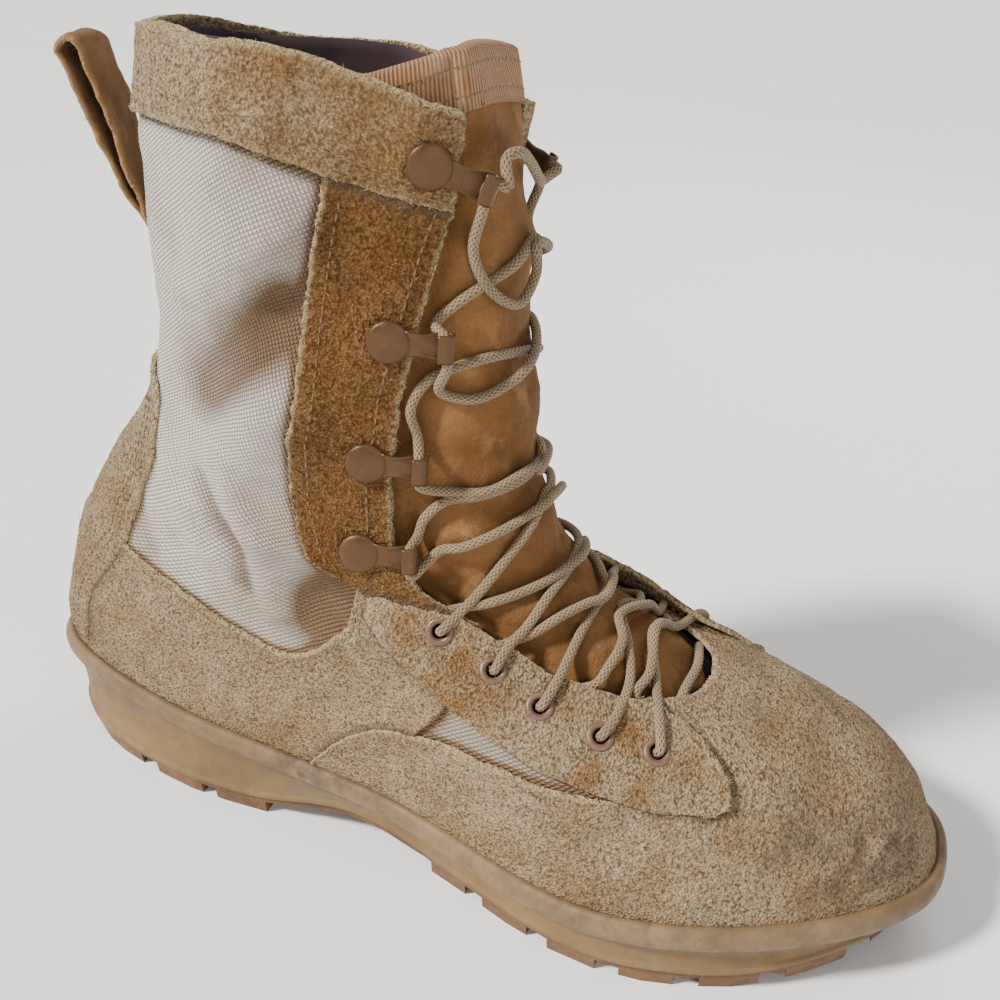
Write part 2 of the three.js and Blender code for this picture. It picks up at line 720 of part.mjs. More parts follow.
// Riveted disc with a strap that reaches forward and curls back over itself,
// so the lace runs through the curl.
function buildHook(angle, height, spin) {
  const profile = [
    [0, 0],
    [HOOK.disc, 0],
    [HOOK.disc, HOOK.edge],
    [HOOK.disc - HOOK.chamfer, HOOK.head],
    [0, HOOK.head + HOOK.dome],
  ];
  const outline = profile.map(([r, z]) => new THREE.Vector2(r, z));
  const disc = new THREE.LatheGeometry(outline, METAL_SIDES).rotateX(Math.PI / 2);
  const start = HOOK.disc - HOOK.chamfer;
  const side = new THREE.Shape();
  side.moveTo(start, 0);
  side.lineTo(HOOK.reach, 0);
  side.lineTo(HOOK.reach, HOOK.rise);
  side.lineTo(HOOK.reach - HOOK.curl, HOOK.rise);
  side.lineTo(HOOK.reach - HOOK.curl, HOOK.rise - HOOK.sheet);
  side.lineTo(HOOK.reach - HOOK.sheet, HOOK.rise - HOOK.sheet);
  side.lineTo(HOOK.reach - HOOK.sheet, HOOK.sheet);
  side.lineTo(start, HOOK.sheet);
  const strap = new THREE.ExtrudeGeometry(side, { depth: HOOK.width, bevelEnabled: false });
  strap.translate(0, 0, -HOOK.width / 2).rotateX(Math.PI / 2);
  return standOn(join([disc, strap]), angle, height, HOOK_SEAT, spin);
}

// ---------------------------------------------------------------- pull loop

// foot and top are heights; lean is how far the top stands out from the foot; open is
// the gap between the layers under the fold; turn swings the strap about its foot.
const LOOP = {
  width: 24, leather: 1.9, foot: 199, top: 247, lean: 12.1, power: 1.15, open: 5,
  turn: 0.32, y: -0.5, off: 3, section: 8.85,
};
const LOOP_STEPS = 7; // along each layer
const FOLD_STEPS = 4; // round the fold

// Middle line of the folded strap, seen from the side: x away from the shaft, z up.
function loopLine() {
  const rise = LOOP.top - LOOP.foot;
  const layer = (share, apart) => {
    const x = LOOP.lean * share ** LOOP.power + apart * (LOOP.leather + GAP + LOOP.open * share);
    return new THREE.Vector2(x, rise * share);
  };
  const line = [];
  for (let i = 0; i <= LOOP_STEPS; i += 1) line.push(layer(i / LOOP_STEPS, 0));
  const radius = (LOOP.leather + GAP + LOOP.open) / 2;
  for (let i = 1; i < FOLD_STEPS; i += 1) {
    const turn = (Math.PI * i) / FOLD_STEPS;
    line.push(new THREE.Vector2(LOOP.lean + radius * (1 - Math.cos(turn)), rise + radius * Math.sin(turn)));
  }
  for (let i = LOOP_STEPS; i >= 0; i -= 1) line.push(layer(i / LOOP_STEPS, 1));
  return line;
}

// Strap folded over behind the shaft, sewn down at its foot and parted at the fold.
function buildPullLoop() {
  const base = offsetPoint(-PROBE, LOOP.section, GAP);
  const line = loopLine();
  const strap = wallSheet(line.length, 2, (up, across, layer) => {
    const i = Math.round(up * (line.length - 1));
    const before = line[Math.max(i - 1, 0)];
    const after = line[Math.min(i + 1, line.length - 1)];
    const along = after.clone().sub(before).normalize();
    const side = (layer === 0 ? 0.5 : -0.5) * LOOP.leather;
    const y = (across - 0.5) * LOOP.width;
    return new THREE.Vector3(line[i].x - along.y * side, y, line[i].y + along.x * side);
  });
  const x = base.x - LOOP.leather / 2 - LOOP.off;
  return strap.rotateZ(Math.PI + LOOP.turn).translate(x, base.y + LOOP.y, LOOP.foot);
}

// ---------------------------------------------------------------- lace

const LACE = 3; // diameter
const LACE_SIDES = 8;
const CROSSING_SIDES = 6;
const LACE_STEP = 13; // length of one straight piece of the tube

// Place over the front of the boot: turn from the middle, negative on the outer side.
function lacePoint({ turn, height, lift }) {
  return offsetPoint(fromFront(turn), height, lift);
}

function laceTube(points, sides) {
  const route = new THREE.CatmullRomCurve3(points, false, 'centripetal');
  const steps = Math.max(3, Math.round(route.getLength() / LACE_STEP));
  const section = new THREE.Shape();
  for (let i = 0; i < sides; i += 1) {
    const turn = (2 * Math.PI * i) / sides;
    const corner = [(LACE / 2) * Math.cos(turn), (LACE / 2) * Math.sin(turn)];
    if (i === 0) section.moveTo(...corner);
    else section.lineTo(...corner);
  }
  return new THREE.ExtrudeGeometry(section, { steps, extrudePath: route, bevelEnabled: false });
}

const OVER_TONGUE = 5; // lace's middle above the surface where two strands cross
const OVER_EYELET = 6.4; // and where it leaves an eyelet's ring
const INSIDE_EDGE = 0.75; // share of the way to the throat's edge that a strand lies on the tongue
const APART = 0.15; // height that keeps a leaving strand above the one that arrives
const SHORT_OF_FACING = 0.7; // share of that way at which a strand stops at an eyelet
const HOOK_PAIR = 0.65; // from a strap's middle to each strand at it, in lace diameters
const STOPS = [...EYELETS, ...HOOKS];

// Place on a strand's way over the tongue, from -1 at one edge to 1 at the other.
function overTongue(from, to, sign, share) {
  const edge = share < 0 ? from : to;
  const beside = edge.edgeHeight - APART * Math.sign(share);
  const height = from.crossing * (1 - share * share) + beside * share * share;
  return lacePoint({ turn: -sign * share * edge.edgeTurn * INSIDE_EDGE, height, lift: OVER_TONGUE });
}

// Just ahead of a hook's curl; side is -1 below the strap's middle and 1 above it.
function hookEnd({ angle, height, spin }, sign, side) {
  const seat = new THREE.BufferGeometry();
  const ahead = HOOK.reach + LACE / 2 + 3 * GAP;
  const place = [ahead, -side * sign * LACE * HOOK_PAIR, HOOK.rise / 2];
  seat.setAttribute('position', new THREE.Float32BufferAttribute(place, 3));
  const placed = standOn(seat, sign * angle, height, HOOK_SEAT, spin);
  return new THREE.Vector3().fromBufferAttribute(placed.attributes.position, 0);
}

// A strand leaves the top of its eyelet or a hook, and ends short of the far facing
// or at the next hook.
function strand(i, sign) {
  const from = STOPS[i];
  const to = STOPS[i + 1];
  const last = i + 1 < EYELETS.length ? SHORT_OF_FACING : 1;
  const shares = [-1, -0.5, 0, last / 2, last];
  const points = shares.map((share) => overTongue(from, to, sign, share));
  if (i < EYELETS.length) {
    const turn = sign * (Math.PI - from.angle);
    points.unshift(lacePoint({ turn, height: from.height, lift: OVER_EYELET }));
  } else {
    points.unshift(hookEnd(from, sign, 1));
  }
  if (i + 1 >= EYELETS.length) points.push(hookEnd(to, -sign, -1));
  return laceTube(points, CROSSING_SIDES);
}

// Two strands that cross over the tongue, joined where they touch.
function laceCrossing(i) {
  return join([strand(i, -1), strand(i, 1)]);
}

// The lace's first run, between the lowest two eyelets.
const BAR = [
  { turn: -0.3, height: 4.35, lift: 2 },
  { turn: 0, height: 4.25, lift: 1 },
  { turn: 0.3, height: 4.35, lift: 2 },
];

// The lace's end: up from the outer top hook and over the tongue to the inner one.
const LACE_END = [
  { turn: -0.34, height: 10.8, lift: 7 },
  { turn: -0.1, height: 10.85, lift: 4.5 },
  { turn: 0.2, height: 10.7, lift: 3 },
  { turn: 0.42, height: 10.5, lift: 4 },
];

function laceEnd() {
  const top = STOPS[STOPS.length - 1];
  return laceTube([hookEnd(top, -1, 1), ...LACE_END.map(lacePoint), hookEnd(top, 1, 1)], LACE_SIDES);
}

// ---------------------------------------------------------------- assembly

const MATERIALS = {
  suede: { color: 0xb39467, roughness: 0.95, metalness: 0 },
  nubuck: { color: 0x8f6440, roughness: 0.85, metalness: 0 },
  lining: { color: 0x6e5a44, roughness: 0.9, metalness: 0 },
  midsole: { color: 0x96794d, roughness: 0.7, metalness: 0 },
  outsole: { color: 0x6b4a30, roughness: 0.75, metalness: 0 },
  metal: { color: 0x9c6f50, roughness: 0.5, metalness: 0.3 },
  cord: { color: 0x9c8766, roughness: 0.9, metalness: 0 },
};

const boot = new THREE.Group();

function addPiece(name, shape, finish) {
  const mesh = new THREE.Mesh(shape, new THREE.MeshStandardMaterial(MATERIALS[finish]));
  mesh.name = name;
  boot.add(mesh);
}

const SIDES = [
  { name: 'lateral', sign: -1 },
  { name: 'medial', sign: 1 },
];
const punches = (sign) => EYELETS.map(({ angle, height }) => punch(sign * angle, height));

addPiece('outsole', buildOutsole(), 'outsole');
addPiece('midsole', buildMidsole(), 'midsole');
addPiece('insole', buildInsole(), 'lining');
addPiece('upper', cut(buildUpper(), [...punches(-1), ...punches(1)]), 'suede');
addPiece('tongue', buildTongue(), 'nubuck');
addPiece('backstay', buildBackstay(), 'suede');
addPiece('collar_band', buildCollarBand(), 'suede');
addPiece('pull_loop', buildPullLoop(), 'nubuck');
for (const { name, sign } of SIDES) {
  addPiece(`hook_stay_${name}`, buildHookStay(sign), 'suede');
  addPiece(`eyelet_stay_${name}`, cut(buildEyeletStay(sign), punches(sign)), 'suede');
  EYELETS.forEach(({ angle, height }, i) => {
    addPiece(`eyelet_${name}_${i + 1}`, buildEyelet(sign * angle, height), 'metal');
  });
  HOOKS.forEach(({ angle, height, spin }, i) => {
    addPiece(`hook_${name}_${i + 1}`, buildHook(sign * angle, height, spin), 'metal');
  });
}

addPiece('lace_bar', laceTube(BAR.map(lacePoint), CROSSING_SIDES), 'cord');
for (let i = 0; i < STOPS.length - 1; i += 1) {
  addPiece(`lace_crossing_${i + 1}`, laceCrossing(i), 'cord');
}
addPiece('lace_end', laceEnd(), 'cord');

export default boot;
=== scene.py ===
import bpy
import numpy as np
from mathutils import Matrix, Vector


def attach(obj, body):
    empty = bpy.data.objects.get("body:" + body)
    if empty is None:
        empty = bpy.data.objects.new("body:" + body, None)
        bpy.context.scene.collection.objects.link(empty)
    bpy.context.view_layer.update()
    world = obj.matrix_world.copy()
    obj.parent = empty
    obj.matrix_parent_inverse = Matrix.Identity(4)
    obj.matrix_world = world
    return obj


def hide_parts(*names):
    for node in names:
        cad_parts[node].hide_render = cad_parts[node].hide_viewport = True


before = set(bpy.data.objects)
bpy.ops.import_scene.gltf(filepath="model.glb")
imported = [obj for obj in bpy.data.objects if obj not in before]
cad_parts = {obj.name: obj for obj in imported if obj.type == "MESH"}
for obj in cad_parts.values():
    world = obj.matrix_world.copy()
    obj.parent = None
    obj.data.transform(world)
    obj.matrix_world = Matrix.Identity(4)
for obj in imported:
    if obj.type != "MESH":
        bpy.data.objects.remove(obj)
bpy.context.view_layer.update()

mm = 0.001
random = np.random.default_rng(11)

# the last: one row per girth section, from the sole joint up to the collar, in mm
# back x and z, front x and z, half widths outside (heel waist ball) and inside, dip, lean
sections = np.array([
    (-157.5, 39.5, 158, 27.5, 34.5, 32.5, 56.5, 33, 27.5, 46.5, -9, 0),
    (-155, 57, 149.5, 44.5, 36.5, 36, 53.5, 35.5, 30, 49, -6, 0),
    (-151, 72, 137, 58.5, 37.5, 37.5, 51, 35.5, 31.5, 48.5, -3, 0),
    (-146, 85, 114.5, 69.5, 37, 38, 47.5, 35, 33.5, 45, 0, 0),
    (-140, 98, 84, 79, 36, 38.5, 44, 34, 35, 41, 0, 0),
    (-132, 112.5, 54, 90, 35.5, 39.5, 39.5, 34.5, 36.5, 37.5, 0, 0),
    (-121, 129, 32, 106, 36, 40, 36, 35.5, 38, 34.5, 0, 0),
    (-109, 147.5, 20, 128.5, 35.5, 41, 34.5, 36, 40, 34, 0, 0),
    (-102.5, 169, 13.5, 156, 36.5, 42.5, 34.5, 36.5, 41.5, 34, 0, 0),
    (-102.5, 194.5, 10, 187, 38, 44, 35.5, 37.5, 43, 35.5, 0, 0),
    (-101.5, 224, 8, 215.5, 39, 44.5, 36, 38, 43.5, 36.5, 1, 1),
    (-97, 255, 11, 239, 39, 44.5, 37, 38, 44, 39, 6, 3),
])
lastShape = {
    "wall": 2.4,
    "backFullness": 2.3,
    "frontFullness": 2.6,
    "toeSwing": 12,
    "swingStart": 30,
    "swingLength": 120,
    "centreY": 3.4,
    "endWidth": 0.94,
    "leanReach": 40,
    "sectionRise": 24,
}
collar = len(sections) - 1
# height and angle of the throat's edge, from its lower end up to the collar
throatEdge = np.array([
    (4.12, np.pi), (4.22, 2.82), (4.42, 2.54), (4.7, 2.42), (5.1, 2.39), (5.5, 2.3), (5.9, 2.12),
    (6.5, 2.05), (7.4, 2.08), (8.3, 2.18), (9.2, 2.36), (10.1, 2.56), (11, 2.57),
])
# angle and height of each eyelet and the height where its strand dives under the facing's edge,
# then angle and height of each hook
eyelets = [(2.38, 3.3, 4.2), (2.27, 3.55, 4.35), (2.2, 4.05, 4.7), (2.18, 4.65, 5.3), (2.1, 5.25, 5.7)]
hooks = [(1.9, 6.35), (1.98, 7.6), (2.16, 8.9), (2.38, 10.5)]
sides = {"lateral": -1, "medial": 1}


# cubic between stations whose slopes are taken across the neighbours; flat levels the ends
def cubic(stations, values, x, flat=False):
    stations = np.asarray(stations, float)
    values = np.asarray(values, float)
    top = len(stations) - 1
    i = np.clip(np.searchsorted(stations, x, side="right") - 1, 0, top - 1)

    def take(k):
        return values[k] if values.ndim == 1 else np.take_along_axis(values, k[None], 0)[0]

    def slope(k):
        a, b = np.maximum(k - 1, 0), np.minimum(k + 1, top)
        rise = (take(b) - take(a)) / (stations[b] - stations[a])
        return np.where((k == 0) | (k == top), 0, rise) if flat else rise

    span = stations[i + 1] - stations[i]
    u = (x - stations[i]) / span
    blend = u * u * (3 - 2 * u)
    value = take(i) * (1 - blend) + take(i + 1) * blend
    return value + span * (u * (1 - u) ** 2 * slope(i) + u * u * (u - 1) * slope(i + 1))


# outside of the upper: a super-ellipse in plan whose ends and widths follow the sections
def surfaceAt(angle, height):
    angle, height = np.broadcast_arrays(np.asarray(angle, float), np.asarray(height, float))
    shape = angle.shape
    angle, height = angle.ravel(), height.ravel()
    angle = angle - 2 * np.pi * np.round(angle / (2 * np.pi))
    level = np.minimum(height, collar)
    rows = np.arange(len(sections))
    read = [cubic(rows, sections[:, k], level) for k in range(12)]
    outer = angle < 0
    heel, waist, ball = [np.where(outer, read[4 + k], read[7 + k]) for k in range(3)]
    along = (1 - np.cos(angle)) / 2
    widths = np.array([heel, heel, waist, ball, ball * lastShape["endWidth"]])
    power = np.where(along < .5, lastShape["backFullness"], lastShape["frontFullness"])
    closing = np.maximum(1 - np.abs(2 * along - 1) ** power, 0) ** (1 / power)
    half = cubic([0, .18, .45, .72, 1], widths, along, flat=True) * closing
    x = read[0] + (read[2] - read[0]) * along
    y = np.sign(angle) * half
    z = read[1] + (read[3] - read[1]) * along + read[10] * np.sin(np.pi * along) ** 2
    z = z - read[11] * y / lastShape["leanReach"] + (height - level) * lastShape["sectionRise"]
    swing = np.clip((x - lastShape["swingStart"]) / lastShape["swingLength"], 0, 1)
    y = y + lastShape["toeSwing"] * swing ** 2 + lastShape["centreY"]
    return np.stack([x, y, z], -1).reshape(shape + (3,))


# each vector divided by its own length
def unit(v):
    return v / np.maximum(np.linalg.norm(v, axis=-1, keepdims=True), 1e-9)


# outward direction: the slope with height crossed with the slope round the boot
def normalAt(angle, height, step=.03):
    up = surfaceAt(angle, height + step) - surfaceAt(angle, height - step)
    around = surfaceAt(angle + step, height) - surfaceAt(angle - step, height)
    return unit(np.cross(up, around))


# angle of the throat's edge at a height, straight between the stations
def throatAngle(height):
    return np.interp(height, throatEdge[:, 0], throatEdge[:, 1])


# creases: lines on the boot, each a soft trough or ridge as deep as it says
# (line of angle and height, half width, rise), in mm; the inner side has fainter ones
creases = [
    ([(-1.74, 9.8), (-1.45, 9.4), (-1.05, 9.0)], 8, 2.2),
    ([(-1.65, 9.0), (-1.43, 8.55), (-1.22, 8.15), (-1.06, 7.77)], 11, -4.6),
    ([(-1.55, 7.9), (-1.3, 7.3), (-1.0, 6.95)], 10, 2.2),
    ([(-.8, 6.9), (-.9, 6.2), (-1.08, 5.5), (-1.2, 5.1)], 5.5, 2.6),
    ([(-1.1, 6.5), (-1.2, 6.0), (-1.33, 5.4), (-1.3, 4.6)], 4.5, -2.6),
    ([(-1.25, 7.0), (-1.4, 5.95), (-1.47, 5.3), (-1.4, 4.3)], 5, 2.4),
    ([(-1.6, 4.85), (-1.78, 5.5)], 8.5, -3.6),
    ([(-.7, 5.3), (-.85, 4.3)], 5, -1.2),
    ([(-1.62, 4.4), (-1.82, 3.7)], 4, -1.0),
    ([(-2.0, 1.1), (-2.3, 2.5), (-2.75, 3.2), (-3.14, 3.45), (-3.6, 3.2)], 6, -1.3),
    ([(-2.4, .9), (-2.72, 2.3), (-3.14, 2.85), (-3.5, 2.5)], 8, -1.1),
    ([(-1.25, 1.2), (-1.5, 2.2), (-1.6, 2.9)], 5, -.9),
    ([(-1.2, 1.6), (-1.0, 2.4)], 8, -.8),
]
creases += [([(-a, h) for a, h in line], width, rise * .7) for line, width, rise in creases[:9]]


# sum over the lines of rise times exp(-(distance / width) squared)
def creaseField(points, lines):
    total = np.zeros(points.shape[:-1])
    for line, width, rise in lines:
        line = np.array(line)
        knots = surfaceAt(line[:, 0], line[:, 1])
        near = np.full(total.shape, 1e9)
        for a, b in zip(knots[:-1], knots[1:]):
            share = np.clip(((points - a) @ (b - a)) / ((b - a) @ (b - a)), 0, 1)
            near = np.minimum(near, np.linalg.norm(points - a - share[..., None] * (b - a), axis=-1))
        total += rise * np.exp(-(near / width) ** 2)
    return total


# smooth noise: sine waves of about one size in random directions, added up
def ripple(points, size, seed, waves=18):
    dice = np.random.default_rng(seed)
    total = np.zeros(points.shape[:-1])
    for _ in range(waves):
        way = unit(dice.normal(size=3)) * 2 * np.pi / (size * dice.uniform(.6, 1.7))
        total += np.sin(points @ way + dice.uniform(0, 2 * np.pi))
    return total / np.sqrt(waves / 2)


# creases and two sizes of waviness, fading out over the first rows above the sole joint
def reliefAt(points, height):
    fade = np.clip(height / .8, 0, 1)
    return fade * (creaseField(points, creases) + .35 * ripple(points, 26, 3) + .1 * ripple(points, 7, 4))


# one object from points in mm and arrays of quads and triangles; an inside-out shape is turned
def makeObject(name, verts, faces, material, uv=None, marks=None, loopUv=None):
    verts = np.asarray(verts, float)
    faces = [np.asarray(f) for f in (faces if isinstance(faces, list) else [faces]) if len(f)]
    if sum(signedVolume(verts, f) for f in faces) < 0:
        faces = [f[:, ::-1] for f in faces]
        loopUv = None if loopUv is None else [m[:, ::-1] for m in loopUv]
    mesh = bpy.data.meshes.new(name)
    loops = np.concatenate([f.ravel() for f in faces])
    sizes = np.concatenate([np.full(len(f), f.shape[1]) for f in faces])
    mesh.vertices.add(len(verts))
    mesh.vertices.foreach_set("co", (verts * mm).astype(np.float32).ravel())
    mesh.loops.add(len(loops))
    mesh.loops.foreach_set("vertex_index", loops.astype(np.int32))
    mesh.polygons.add(len(sizes))
    mesh.polygons.foreach_set("loop_start", (np.cumsum(sizes) - sizes).astype(np.int32))
    mesh.polygons.foreach_set("use_smooth", np.full(len(sizes), True))
    if uv is not None or loopUv is not None:
        layer = mesh.uv_layers.new(name="UVMap")
        flat = np.asarray(uv)[loops] if loopUv is None else np.concatenate([m.reshape(-1, 2) for m in loopUv])
        layer.data.foreach_set("uv", flat.astype(np.float32).ravel())
    for label in ("edge", "tone", "dirtAndShade"):
        values = (marks or {}).get(label, np.zeros(len(verts))).astype(np.float32).ravel()
        mesh.attributes.new(label, "FLOAT", "POINT").data.foreach_set("value", values)
    mesh.update(calc_edges=True)
    mesh.validate()
    mesh.materials.append(material)
    piece = bpy.data.objects.new(name, mesh)
    bpy.context.scene.collection.objects.link(piece)
    return piece


# volume under each face's fan of triangles, negative when the faces point inwards
def signedVolume(verts, faces):
    total = 0
    for k in range(1, faces.shape[1] - 1):
        a, b, c = verts[faces[:, 0]], verts[faces[:, k]], verts[faces[:, k + 1]]
        total += np.einsum("ij,ij->i", a, np.cross(b, c)).sum()
    return total


# the four corner numbers of every cell of a grid, joined end to start where it is closed
def gridQuads(rows, columns, closedRows=False, closedColumns=False):
    i = np.arange(rows * columns).reshape(rows, columns)
    i = np.concatenate([i, i[:1]]) if closedRows else i
    i = np.concatenate([i, i[:, :1]], 1) if closedColumns else i
    return np.stack([i[:-1, :-1], i[1:, :-1], i[1:, 1:], i[:-1, 1:]], -1).reshape(-1, 4)


# faces of a closed wall between two sheets on one grid; an edge that only one quad has gets a rim
def wallFaces(quads, count):
    start, end = quads.ravel(), np.roll(quads, -1, 1).ravel()
    rim = ~np.isin(start * count + end, end * count + start)
    p, q = start[rim], end[rim]
    return np.concatenate([quads, quads[:, ::-1] + count, np.stack([q, p, p + count, q + count], -1)])


# the wall as an object, without the quads that keep leaves out; where it has a dirt-and-shade mark,
# its inner sheet gets painted shade, as much as the shadow says
def wallPiece(name, outer, inner, material, uv=None, marks=None, keep=None, shadow=.8):
    count = outer.shape[0] * outer.shape[1]
    quads = gridQuads(*outer.shape[:2])
    if keep is not None:
        quads = quads[keep.ravel()]
    faces = wallFaces(quads, count)
    verts = np.concatenate([outer.reshape(-1, 3), inner.reshape(-1, 3)])
    used, renumbered = np.unique(faces, return_inverse=True)

    def twice(values):
        return np.concatenate([values.reshape(count, -1)] * 2)[used]

    marks = {k: twice(v) for k, v in (marks or {}).items()}
    # painted shade on the inner sheet, added to the dirt-and-shade mark
    if "dirtAndShade" in marks:
        marks["dirtAndShade"] = marks["dirtAndShade"] + shadow * (used >= count)[:, None]
    uv = None if uv is None else twice(uv)
    return makeObject(name, verts[used], renumbered.reshape(faces.shape), material, uv, marks)


# running sum of the steps along one way of a grid, from 0
def arcLength(points, axis):
    step = np.linalg.norm(np.diff(points, axis=axis), axis=-1)
    start = np.zeros_like(np.take(step, [0], axis))
    return np.concatenate([start, np.cumsum(step, axis)], axis)


# holes: quads whose middle lies inside an eyelet's barrel are left out
def clearOfEyelets(points, radius=2.7):
    middle = (points[:-1, :-1] + points[1:, 1:]) / 2
    keep = np.ones(middle.shape[:2], bool)
    for angle, height, _ in eyelets:
        for sign in sides.values():
            centre, axis = surfaceAt(sign * angle, height), normalAt(sign * angle, height)
            away = middle - centre
            depth = away @ axis
            off = np.linalg.norm(away - depth[..., None] * axis, axis=-1)
            keep &= ~((off < radius) & (np.abs(depth) < 8))
    return keep


fuzz = {"root": [], "way": []}
seams = []
# what shows at a panel's edge, in mm: how far in the fraying, the pale rim, the painted shade beside a seam
# and the fibres reach, the small lip along a raw edge, and how far in the nap still has fibres
edgeReach = {"fray": 2.2, "raw": 1.1, "seam": 1.8, "lip": .7, "lipInset": .8, "lipRise": .22,
             "fibres": .9, "nap": 60}
seamStep = .6


# running length of a line of points, from 0
def runOf(line):
    return np.concatenate([[0], np.cumsum(np.linalg.norm(np.diff(line, axis=0), axis=1))])


# points read off a line at given running lengths, straight between its own
def alongLine(at, run, line):
    return np.stack([np.interp(at, run, line[:, k]) for k in range(3)], 1)


# the four edges of a grid over the last, read off at even steps, each with its layer
def addSeam(layer, angle, height):
    base = surfaceAt(angle, height)
    for line in (base[0], base[-1], base[:, 0], base[:, -1]):
        run = runOf(line)
        seams.append((layer, alongLine(np.arange(0, run[-1], seamStep), run, line)))


# distance from each point to the nearest edge of a higher layer: root of p.p + q.q - 2 p.q
def seamDistance(points, layer):
    above = [line for level, line in seams if level > layer]
    if not above:
        return np.full(points.shape[:-1], 99.0)
    lines = np.concatenate(above)
    flatPoints = points.reshape(-1, 3)
    nearest = np.concatenate([((part ** 2).sum(1)[:, None] + (lines ** 2).sum(1) - 2 * part @ lines.T).min(1)
                              for part in np.array_split(flatPoints, len(flatPoints) // 1500 + 1)])
    return np.sqrt(np.maximum(nearest, 0)).reshape(points.shape[:-1])


# a panel of leather or cloth on the last: each point goes out along the normal by
# low + (high - low) * (.2 + .8 * a quarter round at the edges) + creases + lumps,
# and its raw edges shift sideways by noise that fades inwards as exp(-(distance / reach) squared);
# raw names those edges, layer is its place in the stack, back moves it to the rear, and the nap gets
# so many fibres inside and three times as many on the raw edges
def panel(name, angle, height, low, high, material, fray=.17, roll=.6, lumps=.045, holes=False,
          raw="lrtb", fibres=0, tone=.3, dirtAndShade=0.0, relief=None, back=0.0, straight=False,
          layer=9, shadow=.8):
    base, normal = surfaceAt(angle, height), normalAt(angle, height)
    base = base - np.array([1, 0, 0]) * np.asarray(back)[..., None]
    across, up = arcLength(base, 1), arcLength(base, 0)
    left, right = across, across[:, -1:] - across
    bottom, top = up, up[-1:] - up
    far = np.full_like(left, 99.0)
    edges = {"l": left, "r": right, "b": bottom, "t": top}
    rawness = np.minimum.reduce([edges[k] for k in raw] + [far])
    nearest = np.minimum.reduce(list(edges.values()))
    alongU = unit(np.gradient(base, axis=1))
    alongV = unit(np.gradient(base, axis=0))
    jitter = fray * (ripple(base, 2.6, 21) + .8 * ripple(base, 8, 22))
    for key, way, sign in (("l", alongU, -1), ("r", alongU, 1), ("b", alongV, -1), ("t", alongV, 1)):
        if key in raw:
            fading = np.exp(-(edges[key] / edgeReach["fray"]) ** 2)
            base = base + way * (sign * jitter * fading)[..., None]
    rise = reliefAt(base, height) if relief is None else relief
    rolled = np.sqrt(np.maximum(1 - (1 - np.clip(nearest / roll, 0, 1)) ** 2, 0))
    skin = lumps * (ripple(base, 3.2, 31) + .8 * ripple(base, 1.9, 32))
    lip = np.exp(-((rawness - edgeReach["lipInset"]) / edgeReach["lip"]) ** 2)
    skin = skin + edgeReach["lipRise"] * lip
    low, high = np.broadcast_to(low, rise.shape), np.broadcast_to(high, rise.shape)
    lift = low + (high - low) * (.2 + .8 * rolled) + rise + skin * rolled
    outer = base + normal * lift[..., None]
    inner = base + normal * (low + rise)[..., None]
    middle = across[:, across.shape[1] // 2][:, None]
    uv = np.stack([across - middle, up], -1) * mm
    if straight:  # columns keep the middle row's places, so threads hang straight from the top
        row = len(across) // 2
        uv = np.stack([np.broadcast_to(across[row] - middle[row], across.shape), -top], -1) * mm
    # painted shadow on this panel beside the edges of the panels that lie over it; it goes into the
    # dirt-and-shade mark with the smudges and the given darkening
    seamShade = np.exp(-(seamDistance(base, layer) / edgeReach["seam"]) ** 2)
    marks = {"edge": np.exp(-(rawness / edgeReach["raw"]) ** 2),
             "tone": toneAt(base, tone),
             "dirtAndShade": dirtAt(base) + dirtAndShade + seamShade}
    keep = clearOfEyelets(base) if holes else None
    piece = wallPiece(name, outer, inner, material, uv, marks, keep, shadow)
    rawEdge, inside = rawness < edgeReach["fibres"], rawness < edgeReach["nap"]
    for count, chosen, stand in ((fibres * 3, rawEdge, 1.0), (fibres, inside, .35)):
        pool = np.argwhere(chosen)
        if not count or not len(pool):
            continue
        pick = pool[random.integers(0, len(pool), count)]
        r, c = pick[:, 0], pick[:, 1]
        turn = random.uniform(0, 2 * np.pi, count)[:, None]
        way = np.cos(turn) * alongU[r, c] + np.sin(turn) * alongV[r, c]
        way = way + normal[r, c] * random.uniform(.15, stand, count)[:, None]
        fuzz["root"].append(outer[r, c])
        fuzz["way"].append(unit(way))
    print("panel", name)
    return piece


# grid whose outline is given by curves: even columns from left to right, even rows from low to high
def gridBetween(left, right, low, high, columns, rows):
    u = np.linspace(0, 1, columns)
    v = np.linspace(0, 1, rows)[:, None]
    angle = left + (right - left) * u[None, :]
    floor, ceiling = low(angle), high(angle)
    return np.broadcast_to(angle, (rows, columns)), floor + (ceiling - floor) * v


# how orange-brown the suede is: the base value and two sizes of noise, kept between 0 and 1
def toneAt(points, base):
    return np.clip(base + .16 * ripple(points, 34, 41) + .1 * ripple(points, 12, 42), 0, 1)


# dirt: angle and height of each smudge, its size in mm and how dark it is
smudges = [((-2.62, .9), 15, .75), ((-2.85, .9), 12, .6), ((-2.5, 1.7), 12, .35), ((3.0, 2.6), 18, .25),
           ((-1.62, 4.1), 8, .5), ((-2.0, .2), 14, .25), ((-.6, .4), 14, .3), ((2.6, .8), 15, .5),
           ((1.2, .5), 18, .3)]


# sum of round smudges, amount * exp(-(distance / size) squared), broken up by noise
def dirtAt(points):
    total = np.zeros(points.shape[:-1])
    for (angle, height), size, amount in smudges:
        away = np.linalg.norm(points - surfaceAt(angle, height), axis=-1)
        total += amount * np.exp(-(away / size) ** 2)
    return np.clip(total * (1 + .45 * ripple(points, 9, 51)), 0, 1)


